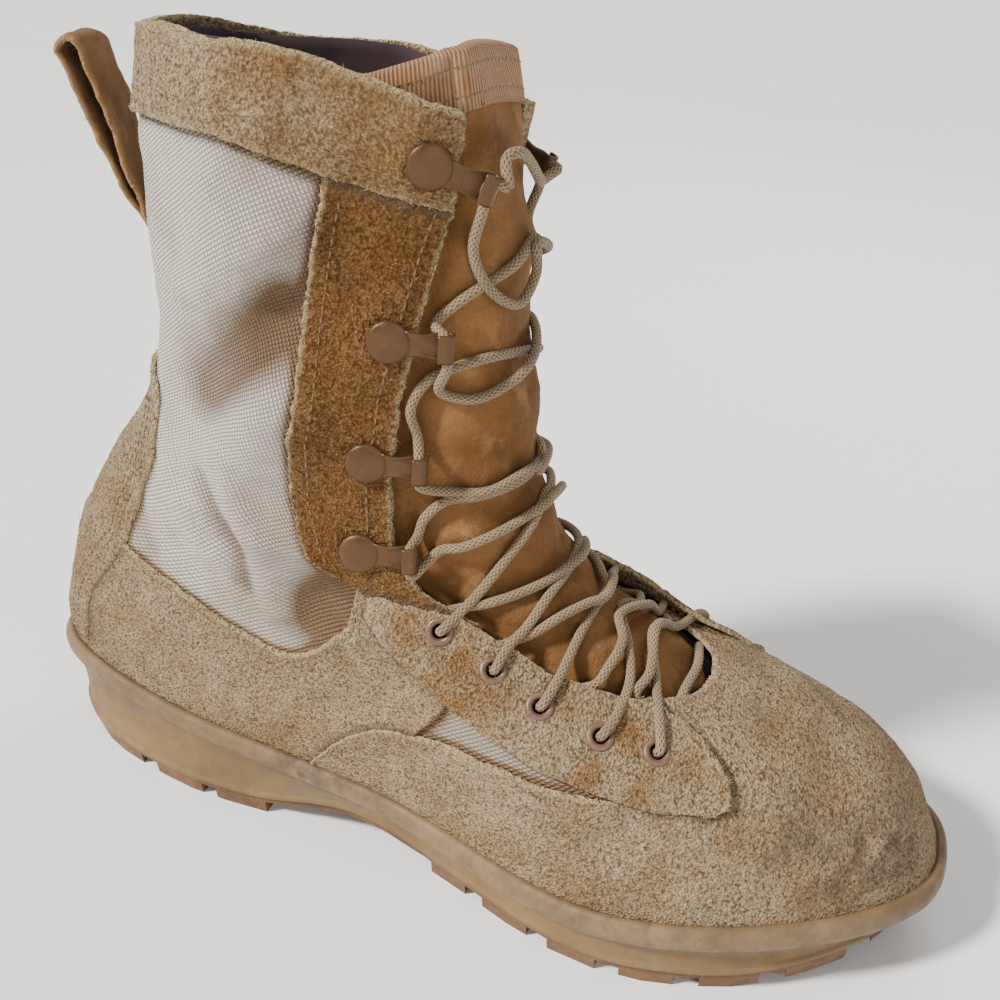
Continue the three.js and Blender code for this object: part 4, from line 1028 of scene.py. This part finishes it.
# rolled ring: its section is a round bead over a barrel
def eyeletRing():
    turn = np.linspace(-.35 * np.pi, 1.05 * np.pi, 12)
    bead = [(3.25 + 1.05 * np.cos(t), 2.75 + .95 * np.sin(t)) for t in turn]
    return lathe(bead + [(2.15, 2.2), (2.15, -2.4), (2.7, -2.4), (2.7, 2.0)], 30, closed=True)


ringSolid = eyeletRing()
rings = [standing(ringSolid, sign * e[0], e[1], 0) for sign in sides.values() for e in eyelets]
onBody(joined("eyeletRings", rings, eyeletMetal), "hook_metal",
       *["eyelet_%s_%d" % (name, i + 1) for name in sides for i in range(len(eyelets))])


# strap of a hook: along the leather, then up and back over itself, its sides turned up
def hookStrap():
    base, tip = hook["sheet"] / 2, hook["rise"] - hook["sheet"] / 2
    end, radius = hook["reach"] - hook["sheet"] / 2, (hook["rise"] - hook["sheet"]) / 2
    turn = np.linspace(-np.pi / 2, np.pi / 2, 9)
    flat = np.linspace(4.2, end - radius, 12)
    back = np.linspace(end - radius, hook["reach"] - hook["curl"] - .4, 5)[1:]
    x = np.concatenate([flat, end - radius + radius * np.cos(turn[1:]), back])
    z = np.concatenate([np.full(12, base), (base + tip) / 2 + radius * np.sin(turn[1:]), np.full(4, tip)])
    line = np.stack([x, np.zeros_like(x), z], 1)
    along = unit(np.gradient(line, axis=0))
    out = np.stack([-along[:, 2], np.zeros_like(x), along[:, 0]], 1)
    across = np.linspace(-1, 1, 11)
    run = np.clip((x - 4) / 13, 0, 1)
    width = hook["width"] / 2 * (1 - .22 * np.exp(-((run - .35) / .25) ** 2) + .06 * run)
    middle = line[:, None] + np.array([0, 1, 0]) * (across[None, :, None] * width[:, None, None])
    lift = 1.1 * np.exp(-((x - 10.5) / 4.0) ** 2) * (z < 2)
    middle = middle + np.array([0, 0, 1]) * (lift[:, None] * np.abs(across[None, :]) ** 5)[..., None]
    half = np.broadcast_to(out[:, None], middle.shape) * (hook["sheet"] / 2)
    verts = np.concatenate([(middle + half).reshape(-1, 3), (middle - half).reshape(-1, 3)])
    return verts, [wallFaces(gridQuads(*middle.shape[:2]), len(verts) // 2)]


disc, head = hook["disc"], hook["head"]
rivet = lathe([(.01, 0), (disc - .2, 0), (disc, .2), (disc, .55), (disc - .35, .95), (disc - 1.1, 1.3),
               (disc - 2.2, head), (disc * .3, head + .2), (.01, head + .24)], 44)
strapShape = hookStrap()
fittings = []
for sign in sides.values():
    for (angle, height), spin in zip(hooks, hook["spin"]):
        fittings += [standing(s, sign * angle, height, hook["seat"], spin) for s in (rivet, strapShape)]
onBody(joined("speedHooks", fittings, hookMetal), "hook_metal",
       *["hook_%s_%d" % (name, i + 1) for name in sides for i in range(len(hooks))])
print("metal ready")


# panels of the upper, their outlines given as height over angle: one height all along
def flat(value):
    return lambda angle: np.full_like(angle, value)


# straight between the table's points, the same on both sides
def curve(table):
    table = np.array(table, float)
    return lambda angle: np.interp(np.abs(angle), table[:, 0], table[:, 1])


# cubic through the table's points, the same on both sides
def softCurve(table):
    table = np.array(table, float)
    return lambda angle: cubic(table[:, 0], table[:, 1], np.clip(np.abs(angle), table[0, 0], table[-1, 0]))


# grid on one side: even rows, each from its rear angle to its front angle
def sideGrid(rows, columns, low, high, rear, front, sign):
    height = np.linspace(low, high, rows)[:, None] * np.ones((1, columns))
    share = np.linspace(0, 1, columns)[None, :]
    a, b = rear(height), front(height)
    angle = a + (b - a) * share
    return (angle, height) if sign > 0 else (-angle[:, ::-1], height[:, ::-1])


# outlines of the leather panels, as grids of angle and height
quarterTop = softCurve([(0, 4.2), (.4, 4.15), (.72, 3.94), (.98, 3.55), (1.16, 2.98), (1.31, 2.8),
                        (1.42, 3.25), (1.54, 3.94), (1.68, 4.65), (1.84, 5.7), (1.97, 6.0)])
quarterLow = curve([(0, -.2), (1.45, -.2), (1.56, 1.5), (1.64, 2.24), (1.81, 3.36), (1.97, 3.6)])
vampTop = softCurve([(1.27, -.1), (1.33, .5), (1.4, 1.1), (1.49, 1.68), (1.58, 2.0), (1.7, 2.14), (2.04, 2.2),
                     (2.16, 2.4), (2.28, 3.1), (2.42, 3.8), (2.56, 4.25), (2.66, 4.3), (2.86, 4.19),
                     (3.1416, 4.12)])
bandLow = curve([(0, 10.3), (1.4, 10.36), (2.1, 10.16), (2.57, 10.06)])
# height and half width of the backstay, then height and angle down each edge of the stays
backstay = np.array([(.3, .45), (1.9, .52), (4.1, .72), (6.3, .76), (7, .68), (7.35, .56), (7.6, .36)])
stayEdges = {
    "hookRear": [(5.45, 1.88), (5.65, 1.76), (6.0, 1.66), (6.9, 1.61), (7.7, 1.62), (8.9, 1.74), (10, 1.86),
                 (10.3, 1.88)],
    "eyeletRear": [(2.1, 2.2), (2.6, 1.95), (3.3, 1.83), (3.8, 1.8), (5.1, 1.8), (5.6, 1.87)],
    "eyeletFront": [(2.1, 2.32), (2.25, 2.38), (2.6, 2.45), (3.3, 2.56), (3.8, 2.66), (4.1, 2.68),
                    (4.35, 2.55), (4.7, 2.42), (5.1, 2.38), (5.6, 2.24)],
}


# angle of a stay's edge at a height, straight between its points
def stayEdge(edge):
    table = np.array(stayEdges[edge])
    return lambda height: np.interp(height, table[:, 0], table[:, 1])


hookRear, stayRear, stayFront = stayEdge("hookRear"), stayEdge("eyeletRear"), stayEdge("eyeletFront")
quarterGrid = gridBetween(-1.97, 1.97, quarterLow, quarterTop, 330, 72)
vampColumns = np.linspace(1.28, 2 * np.pi - 1.28, 330)[None, :]
vampHigh = vampTop(np.pi - np.abs(vampColumns - np.pi))
vampHeight = -.2 + (vampHigh + .2) * np.linspace(0, 1, 76)[:, None]
vampGrid = (np.broadcast_to(vampColumns, vampHeight.shape), vampHeight)
backHeight = (7.6 - 7.3 * (1 - np.linspace(0, 1, 110)) ** 1.3)[:, None] * np.ones((1, 66))
backHalf = np.interp(backHeight, backstay[:, 0], backstay[:, 1])
backGrid = (np.linspace(-1, 1, 66)[None, :] * backHalf, backHeight)
bandAngle, bandHeight = gridBetween(-2.565, 2.565, bandLow, flat(11.04), 300, 34)
bandWave = ripple(surfaceAt(bandAngle, bandHeight), 40, 71) * np.clip((bandHeight - 10.4) / .6, 0, 1)
bandGrid = (bandAngle, bandHeight + .03 * bandWave)
hookGrids, stayGrids = {}, {}
for name, sign in sides.items():
    hookGrids[name] = sideGrid(130, 44, 5.45, 10.3, hookRear, lambda h: throatAngle(h) + .01, sign)
    stayGrids[name] = sideGrid(96, 56, 2.1, 5.62, stayRear, stayFront, sign)
layers = [quarterGrid, vampGrid, backGrid, *hookGrids.values(), bandGrid, *stayGrids.values()]
for layer, grid in enumerate(layers):
    addSeam(layer + 1, *grid)

# inner and outer face of each panel, in mm out from the last
skinFaces = {
    "lining": (-3.0, -1.8),
    "cloth": (-1.1, -.1),
    "quarter": (-.1, 1.25),
    "vamp": (.25, 1.6),
    "backstay": (-.1, 1.5),
    "band": (-1.8, 2.0),
    "hookStay": (.2, 1.9),
    "eyeletStay": (1.1, 2.9),
}

# lining: the inner face of the whole upper, dark with its own colour and painted shade, up to the collar and
# the throat's edge
heights = np.linspace(-.05, 11, 110)[:, None] * np.ones((1, 150))
reach = np.linspace(-1, 1, 150)[None, :] * np.minimum(throatAngle(heights), np.pi - .004)
onBody(panel("lining", reach, heights, *skinFaces["lining"], lining, fray=0, lumps=.05, holes=True, raw=""),
       "lining_cloth", "upper")

# nylon shaft: from the counter up to the collar band, and down the window ahead of the quarter; it has
# grime and painted shade in the hollows of the creases, painted shade along two painted hollows, and
# is darker towards the throat and low down
clothRows, clothColumns = 150, 220
# two painted hollows: lines of painted shade, each like a hollow crease, that darken the cloth without
# denting it
hollowShades = [([(sign * 1.52, 4.2), (sign * 1.63, 4.9), (sign * 1.76, 5.5)], 9, -2.6) for sign in sides.values()]
heights = np.linspace(1.6, 10.75, clothRows)[:, None] * np.ones((1, clothColumns))
reach = np.linspace(-1, 1, clothColumns)[None, :] * np.minimum(throatAngle(heights) - .03, 2.34)
# grime and painted shade in the hollows of the creases, and painted shade along the painted hollows
grimeAndShade = np.clip(-creaseField(surfaceAt(reach, heights), creases + hollowShades) / 3.4, 0, 1) * .9
# darker towards the throat and low down
grimeAndShade += .35 * np.clip((np.abs(reach) - 1.15) / .5, 0, 1) + .3 * np.clip((6.4 - heights) / 2.4, 0, 1)
onBody(panel("shaftCloth", reach, heights, *skinFaces["cloth"], nylonCloth, fray=0, lumps=.05, holes=True,
             raw="", dirtAndShade=grimeAndShade, straight=True, layer=0), "nylon_cloth")

# leather panels, lower ones first; the backstay rises where it lies over the quarter
onBody(panel("quarter", *quarterGrid, *skinFaces["quarter"], suedeSkin, raw="t", fibres=260, tone=.2,
             holes=True, layer=1), "suede")
onBody(panel("vamp", *vampGrid, *skinFaces["vamp"], suedeSkin, raw="t", fibres=260, tone=.16, holes=True,
             layer=2), "suede")
over = np.clip((quarterTop(backGrid[0]) - backGrid[1]) / .3, 0, 1)
low, high = skinFaces["backstay"]
onBody(panel("backstay", *backGrid, low + 1.3 * over, high + over, suedeSkin, raw="lrt", fibres=130,
             tone=.12), "suede", "backstay")
# the band turns rust towards the front: partly the suede's own colour and partly painted shade
frontShare = np.clip((np.abs(bandGrid[0]) - 1.25) / .8, 0, 1)
onBody(panel("collarBand", *bandGrid, *skinFaces["band"], suedeSkin, fray=.11, raw="lrtb", fibres=260,
             tone=.12 + .85 * frontShare), "suede", "collar_band")

# the front edge of an eyelet stay lifts off round one height, by so many mm
stayCurl = {"lateral": (3.0, 2.5), "medial": (4.5, 4.6)}
low, high = skinFaces["eyeletStay"]
for name, sign in sides.items():
    onBody(panel("hookStay" + name.title(), *hookGrids[name], *skinFaces["hookStay"], suedeStay, raw="lrb",
                 fibres=200, tone=.5, layer=5), "suede", "hook_stay_" + name)
    patches = .3 + .5 * np.clip(ripple(surfaceAt(*stayGrids[name]), 20, 77), -.4, 1)
    share = np.linspace(0, 1, 56)[None, ::sign]
    level, rise = stayCurl[name]
    away = stayGrids[name][1] - level
    curl = rise * np.clip((share - .6) / .4, 0, 1) ** 2 * np.exp(-(away / .75) ** 2)
    onBody(panel("eyeletStay" + name.title(), *stayGrids[name], low + curl, high + curl, suedeSkin, fray=.28,
                 shadow=.15, fibres=260, tone=patches, holes=True), "suede", "eyelet_stay_" + name)

# tongue and its bound top edge
side = 1 - 2 * np.linspace(0, 1, 84)[None, :]
heights = np.linspace(0, 1, 150)[:, None] * np.ones_like(side)
heights = tongue["bottom"] + (tongue["top"] - tongue["bottom"]) * heights
turn = side * tongueReach(heights)
face = tongueLift(turn, heights)
heights = heights - np.maximum(heights - tongue["dropFrom"], 0) * tongue["drop"] * side ** 2
tonguePad = panel("tonguePad", np.pi - turn, heights, face - tongue["thick"], face, nubuckSkin, fray=0,
                  roll=2.2, lumps=.05, raw="", relief=np.zeros_like(face), back=leanBack(turn, heights))
onBody(tonguePad, "nubuck", "tongue")


# section of the binding: share of its depth up the tongue, and mm out from the tongue's face
bindingDepth = .56
bindingSection = [(0, .55), (.25, .6), (.5, .62), (.75, .62), (1, .5), (1.05, -.4), (1.08, -2), (1.05, -3.6),
                  (1, -4.5), (.75, -4.6), (.4, -4.6), (0, -4.5), (-.03, -3.8), (-.03, -2), (-.03, 0)]


# webbing folded over the tongue's top: a thin loop round the edge, carried along it
def tongueBinding():
    line = side[0, 2:-2]
    topHeight = tongue["top"] - (tongue["top"] - tongue["dropFrom"]) * tongue["drop"] * line ** 2
    turns = line * tongueReach(tongue["top"])
    lift = tongueLift(turns, np.full_like(turns, tongue["top"]))
    normal = normalAt(np.pi - turns, topHeight)
    rings = []
    for share, out in bindingSection:
        height = topHeight - bindingDepth * (1 - share)
        point = surfaceAt(np.pi - turns, height) + normal * (lift + out + .12)[:, None]
        rings.append(point - leanBack(turns, height)[:, None] * np.array([1, 0, 0]))
    ring = np.stack(rings, 1)
    verts = ring.reshape(-1, 3)
    rows, columns = ring.shape[:2]
    quads = gridQuads(rows, columns, closedColumns=True)
    fans = endFans(rows, columns, len(verts))
    run, rim = runOf(ring[:, 0]) * mm, runOf(ring[0]) * mm
    uv = np.stack(np.broadcast_arrays(run[:, None], rim[None, :]), -1).reshape(-1, 2)
    verts, uv = np.concatenate([verts, ring[[0, -1]].mean(1)]), np.concatenate([uv, np.zeros((2, 2))])
    return makeObject("tongueBinding", verts, [quads, fans], webbing, uv=uv), ring


binding, bindingRing = tongueBinding()
onBody(binding, "nylon_cloth")

# pull loop: a strap folded over behind the shaft, narrower where it is sewn down
loop = {
    "width": 24,
    "leather": 1.9,
    "foot": 199,
    "top": 247,
    "lean": 12.1,
    "power": 1.15,
    "open": 5,
    "turn": .32,
    "y": -.5,
    "off": 3,
    "section": 8.85,
    "gap": .3,
    "sewn": .4,
    "columns": 26,
    "fibres": 260,
}


# its middle line leans back as share ** power, goes over a half round and down again further out;
# the strap is that line swept sideways, waved by noise and turned to stand behind the shaft
def pullLoop():
    rise, radius = loop["top"] - loop["foot"], (loop["leather"] + loop["gap"] + loop["open"]) / 2
    share = np.linspace(0, 1, 40)
    sewn = (loop["off"] - .3) * np.maximum(1 - share / loop["sewn"], 0) ** 2
    near = np.stack([loop["lean"] * share ** loop["power"] - sewn, rise * share], 1)
    turn = np.linspace(0, np.pi, 14)[1:-1]
    fold = np.stack([loop["lean"] + radius * (1 - np.cos(turn)), rise + radius * np.sin(turn)], 1)
    apart = loop["leather"] + loop["gap"] + loop["open"] * share
    away = np.stack([near[:, 0] + apart, near[:, 1]], 1)[::-1]
    line = np.concatenate([near, fold, away])
    along = unit(np.gradient(line, axis=0))
    across = np.linspace(-1, 1, loop["columns"])
    width = loop["width"] / 2 * (.84 + .16 * np.clip(line[:, 1] / rise, 0, 1))
    middle = np.zeros((len(line), loop["columns"], 3))
    middle[..., 0], middle[..., 2] = line[:, None, 0], line[:, None, 1]
    middle[..., 1] = across[None, :] * width[:, None]
    normal = np.zeros_like(middle)
    normal[..., 0], normal[..., 2] = -along[:, None, 1], along[:, None, 0]
    rolled = np.sqrt(1 - .75 * np.abs(across[None, :]) ** 12) * np.ones((len(line), 1))
    middle = middle + normal * (.35 * ripple(middle, 14, 81))[..., None]
    middle[..., 1] += .45 * ripple(middle, 3, 82) * across[None, :] ** 6
    base = surfaceAt(-.03, loop["section"]) + normalAt(-.03, loop["section"]) * loop["gap"]
    spin = np.pi + loop["turn"]
    turned = np.array([[np.cos(spin), np.sin(spin), 0], [-np.sin(spin), np.cos(spin), 0], [0, 0, 1]])
    shift = np.array([base[0] - loop["leather"] / 2 - loop["off"], base[1] + loop["y"], loop["foot"]])
    half = (normal * loop["leather"] / 2 * rolled[..., None]) @ turned
    middle = middle @ turned + shift
    rim = np.exp(-((1 - np.abs(across[None, :])) * width[:, None] / 1.4) ** 2)
    uv = np.stack(np.broadcast_arrays(middle[..., 1], arcLength(middle, 0)), -1) * mm
    count = loop["fibres"]
    for _ in range(2):
        pick = random.integers(0, len(line), count)
        column = np.where(random.random(count) < .5, 0, loop["columns"] - 1)
        fuzz["root"].append(middle[pick, column])
        sideways = np.where(column == 0, -1, 1) * .9
        way = np.stack([random.normal(0, .5, count), sideways, random.normal(0, .5, count)], 1)
        fuzz["way"].append(unit(way @ turned))
    return wallPiece("pullLoop", middle + half, middle - half, strapSkin, uv, {"edge": rim})


onBody(pullLoop(), "nubuck", "pull_loop")
print("upper ready")

# sole unit: how far the foot of the wall stands out from the joint line, from heel to toe
footOutset = np.array([(0, -2.5), (.08, 1.5), (.22, 3), (.36, 1), (.5, -1), (.62, 0), (.85, 0), (.94, -1.5),
                       (1, -4)])
sole = {
    "heelBevelX": -138,
    "bevelSlope": .15,
    "springX": 96,
    "spring": 9.5,
    "springPower": 1.7,
    "endX": 158,
    "lug": 5,
    "plate": 2.6,
    "arch": 5.5,
    "archMargin": 8,
    "heelFront": -62,
    "ballBack": 3,
    "gap": .3,
    "toeWall": .35,
    "inside": 14,
    "beadDepth": 5.3,
    "wallOut": 3.5,
    "hollow": 1.5,
}


# the tread's underside: flat, with the toe sprung up as a power of x and the heel bevelled
def groundHeight(x):
    toe = np.maximum((x - sole["springX"]) / (sole["endX"] - sole["springX"]), 0)
    heel = sole["bevelSlope"] * np.maximum(sole["heelBevelX"] - x, 0)
    return sole["spring"] * toe ** sole["springPower"] + heel


# top of the lugs: a squared sine arches it between heel and ball
def plateHeight(x):
    length = sole["ballBack"] - sole["heelFront"] + 2 * sole["archMargin"]
    share = np.clip((x - sole["heelFront"] + sole["archMargin"]) / length, 0, 1)
    return groundHeight(x) + sole["lug"] + sole["arch"] * np.sin(np.pi * share) ** 2


# joint line moved outwards in plan, square to itself
def soleOutline(angle, outset):
    along = surfaceAt(angle + .03, 0.0) - surfaceAt(angle - .03, 0.0)
    along = unit(along * [1, 1, 0])
    outwards = np.stack([-along[..., 1], along[..., 0], np.zeros_like(along[..., 0])], -1)
    return surfaceAt(angle, 0.0) + outwards * outset[..., None]


soleAngle = (np.linspace(-np.pi, np.pi, 481)[:-1] + .002)[:, None]


# ring of sections round the sole: one closed profile at every angle, a little wavy in height
def soleRing(name, outset, height, material):
    outset, height = np.broadcast_arrays(outset, height)
    points = soleOutline(np.broadcast_to(soleAngle, outset.shape), outset)
    points[..., 2] = height
    points = points + np.stack([np.zeros_like(outset)] * 2 + [.1 * ripple(points, 30, 91)], -1)
    quads = gridQuads(*outset.shape, closedRows=True, closedColumns=True)
    flatPoints = points.reshape(-1, 3)
    return makeObject(name, flatPoints, quads, material, marks={"dirtAndShade": soleScuffs(flatPoints)})


# place in mm, size and strength of each scuff
scuffs = [((-40, -36, 30), 16, .9), ((-18, -40, 27), 9, .6), ((60, -52, 30), 12, .5), ((140, 0, 26), 18, .5),
          ((90, -50, 22), 20, .3)]


# a little dirt everywhere and round scuffs, strength * exp(-(distance / size) squared)
def soleScuffs(points):
    total = .12 + .2 * np.clip(ripple(points, 22, 92), 0, 1)
    for spot, size, amount in scuffs:
        total = total + amount * np.exp(-(np.linalg.norm(points - spot, axis=-1) / size) ** 2)
    return np.clip(total, 0, 1)


along = (1 - np.cos(soleAngle)) / 2
jointZ = surfaceAt(soleAngle, 0.0)[..., 2]
footX = soleOutline(soleAngle, np.zeros_like(soleAngle))[..., 0]
footZ = plateHeight(footX) + sole["plate"] + sole["gap"]
footOut = np.interp(along, footOutset[:, 0], footOutset[:, 1])
stretch = 1 + sole["toeWall"] * along  # the wall is higher towards the toe

# section of the bead round the joint: mm out from the joint line and up from it
bead = np.array([(.4, -.6), (.7, .9), (1.3, 1.7), (2.2, 2.1), (3.2, 1.9), (4.0, 1.2), (4.5, .1), (4.75, -1.2),
                 (4.75, -2.6), (4.5, -3.8), (4.0, -4.8), (3.2, -5.4), (2.0, -5.5), (0, -5.2), (-3, -4),
                 (-3.5, -1.5), (-1.2, -.8)])
beadHeight = np.where(bead[:, 1] < -.6, bead[:, 1] * stretch, bead[:, 1])
onBody(soleRing("soleBead", bead[:, 0], jointZ + beadHeight, beadRubber), "midsole_rubber")

# section of the sidewall: down from the bead with a hollow in it, round a lip, and back up inside
drop = np.linspace(0, 1, 26)
lipOut = np.array([1.15, 1.6, 1.85, 1.9, 1.85, 1.6])
lipRise = np.array([2.2, 1.75, 1.2, .7, .25, 0])
wallTop = jointZ - sole["beadDepth"] * stretch
lipTop = footZ + 2.6
level = np.ones_like(footOut)
wallOut = sole["wallOut"] + (footOut + 1.0 - sole["wallOut"]) * drop
wallOut = wallOut - sole["hollow"] * np.sin(np.pi * drop ** .8)
wallOut = np.concatenate([wallOut, footOut + lipOut, footOut - sole["inside"], -sole["inside"] * level,
                          .5 * level], 1)
wallZ = wallTop + (lipTop - wallTop) * drop
wallZ = np.concatenate([wallZ, footZ + lipRise, footZ, wallTop + 3, wallTop + .5], 1)
onBody(soleRing("soleWall", wallOut, wallZ, wallRubber), "midsole_rubber", "midsole")


# a carried-over CAD piece takes a material on its own slots
def dress(nodeName, material):
    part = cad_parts[nodeName]
    part.data.materials.clear()
    part.data.materials.append(material)


dress("outsole", treadRubber)
dress("insole", footbed)
print("sole ready")


# sewing: short spindles of thread along lines on the boot, sizes in mm
stitching = {"points": [], "along": [], "out": []}
stitchSize = {"pitch": 3.1, "bindingPitch": 2.6, "half": .75, "tip": 1.15, "thin": .2, "thick": .3,
              "sunk": .25}


# even places along a line, each with the way ahead and the way out of the leather
def stitchLine(points, normals, pitch=stitchSize["pitch"]):
    run = runOf(points)
    at = np.arange(pitch / 2, run[-1], pitch)
    spot = alongLine(at, run, points)
    stitching["points"].append(spot)
    stitching["along"].append(unit(alongLine(at + .4, run, points) - spot + 1e-6))
    stitching["out"].append(unit(alongLine(at, run, normals)))


# a stitch line given by angle and height, at a lift over the last
def sewAt(angle, height, lift):
    angle, height = np.broadcast_arrays(np.asarray(angle, float), np.asarray(height, float))
    stitchLine(onBoot(angle, height, lift), normalAt(angle, height))


sew = np.linspace(0, 1, 160)
quarterLine = np.linspace(.78, 1.8, 160)
toeLine = np.linspace(1.34, 1.62, 80)
bandLine = np.linspace(0, 2.5, 160)
for sign in sides.values():
    for inset in (.13, .26):
        sewAt(sign * quarterLine, quarterTop(quarterLine) - inset, 1.35)
    h = 6.0 + 4.1 * sew
    sewAt(sign * (hookRear(h) + .085), h, 1.95)
    sewAt(sign * (throatAngle(h) - .11), h, 2.0)
    h = 2.5 + 3.0 * sew
    sewAt(sign * (stayRear(h) + .07), h, 2.6)
    h = 2.3 + 2.0 * sew
    sewAt(sign * (stayFront(h) - .075), h, 2.6)
    h = .4 + 6.8 * sew
    half = np.interp(h, backstay[:, 0], backstay[:, 1])
    for inset in (.08, .14):
        sewAt(sign * (half - inset), h, 2.6)
    for inset in (.14, .27):
        sewAt(sign * (toeLine + inset * .18), vampTop(toeLine) - inset * .5, 1.7)
    for inset in (.1, .2):
        sewAt(sign * bandLine, bandLow(bandLine) + inset, 2.1)
frontNormals = normalAt(np.full(len(bindingRing), np.pi), np.full(len(bindingRing), 10.9))
for column in (1, 3):
    stitchLine(bindingRing[:, column], frontNormals, stitchSize["bindingPitch"])


# one object from many small shapes with the same faces, one row of points for each
def repeated(name, verts, quads, fans, material):
    start = (np.arange(verts.shape[0]) * verts.shape[1])[:, None, None]
    groups = [(quads + start).reshape(-1, 4), (fans + start).reshape(-1, 3)]
    return makeObject(name, verts.reshape(-1, 3), groups, material)


# every stitch is one five-sided spindle, all worked out together
def makeStitches():
    spot, along, out = [np.concatenate(stitching[k]) for k in ("points", "along", "out")]
    across = unit(np.cross(along, out))
    turn = np.arange(5) / 5 * 2 * np.pi
    spoke = across[:, None] * np.cos(turn)[:, None] + out[:, None] * np.sin(turn)[:, None]
    half, thin, thick = [stitchSize[k] for k in ("half", "thin", "thick")]
    beads = ((-half, thin), (0, thick), (half, thin))
    rings = [spot[:, None] + along[:, None] * x + radius * spoke for x, radius in beads]
    sunk = spot - out * stitchSize["sunk"]
    ends = [(sunk + along * x)[:, None] for x in (-stitchSize["tip"], stitchSize["tip"])]
    verts = np.concatenate(rings + ends, 1)
    k, n = np.arange(5), (np.arange(5) + 1) % 5
    quads = np.concatenate([np.stack([k, n, n + 5, k + 5], 1), np.stack([k + 5, n + 5, n + 10, k + 10], 1)])
    fans = np.concatenate([np.stack([n, k, np.full(5, 15)], 1),
                           np.stack([k + 10, n + 10, np.full(5, 16)], 1)])
    return repeated("sewing", verts, quads, fans, sewing)


onBody(makeStitches(), "lace_cord")


# loose nap: bent three-sided needles standing from the raw edges and the suede
def makeNap():
    root, way = [np.concatenate(fuzz[k]) for k in ("root", "way")]
    count = len(root)
    long = random.gamma(2.2, .24, count)[:, None] + .25
    thick = random.uniform(.045, .11, count)[:, None]
    bend = unit(random.normal(size=(count, 3)))
    across, other = unit(np.cross(way, bend)), unit(np.cross(way, np.cross(way, bend)))
    turn = np.arange(3) / 3 * 2 * np.pi
    spokes = across[:, None] * np.cos(turn)[:, None] + other[:, None] * np.sin(turn)[:, None]
    foot = (root - way * .15)[:, None] + spokes * thick[:, None]
    knee = (root + way * long * .55 + bend * long * .12)[:, None] + spokes * thick[:, None] * .75
    tip = (root + way * long * .9 + bend * long * .42)[:, None]
    verts = np.concatenate([foot, knee, tip], 1)
    k, n = np.arange(3), (np.arange(3) + 1) % 3
    quads = np.stack([k, n, n + 3, k + 3], 1)
    fans = np.concatenate([np.stack([k + 3, n + 3, np.full(3, 6)], 1), [[2, 1, 0]]])
    return repeated("looseNap", verts, quads, fans, looseNap)


onBody(makeNap(), "suede")
print("sewing and nap ready")

# floor, light and world; the sun's way, its strength and its width in degrees
studio = {"sky": .42, "sun": 6.3, "sunAngle": 8, "sunWay": (.78, .66, -.88)}


# a wide pale floor and an even white sky
def makeStage():
    bpy.ops.mesh.primitive_plane_add(size=80)
    floor = bpy.context.object
    floor.name = "floor"
    material, tree, shader = newMaterial("floorPaint", .9)
    tone = mix(tree, noise(tree, place(tree), 3), rgb(.90, .90, .90), rgb(.94, .94, .94))
    tree.links.new(tone, shader.inputs["Base Color"])
    floor.data.materials.append(material)
    world = bpy.data.worlds.new("studio")
    world.use_nodes = True
    world.node_tree.nodes["Background"].inputs[0].default_value = rgb(1, 1, 1)
    world.node_tree.nodes["Background"].inputs[1].default_value = studio["sky"]
    bpy.context.scene.world = world


# round soft light aimed at the boot's middle
def softBox(name, spot, size, power, colour):
    data = bpy.data.lights.new(name, "AREA")
    data.shape, data.size, data.energy, data.color = "DISK", size, power, colour
    lamp = bpy.data.objects.new(name, data)
    aim = Vector((0, 0, .12)) - Vector(spot)
    lamp.matrix_world = Matrix.Translation(spot) @ aim.to_track_quat("-Z", "Y").to_matrix().to_4x4()
    bpy.context.scene.collection.objects.link(lamp)


# the main light: a wide sun from above the heel's outer side
def keyLight():
    data = bpy.data.lights.new("keyLight", "SUN")
    data.energy, data.angle = studio["sun"], np.radians(studio["sunAngle"])
    data.color = (1, .97, .925)
    lamp = bpy.data.objects.new("keyLight", data)
    lamp.matrix_world = Vector(studio["sunWay"]).to_track_quat("-Z", "Y").to_matrix().to_4x4()
    bpy.context.scene.collection.objects.link(lamp)


makeStage()
keyLight()
softBox("fillLight", (.9, -.9, .6), .9, 5, (1, .96, .9))
softBox("rimLight", (.2, .9, 1.0), .7, 6, (1, .97, .93))
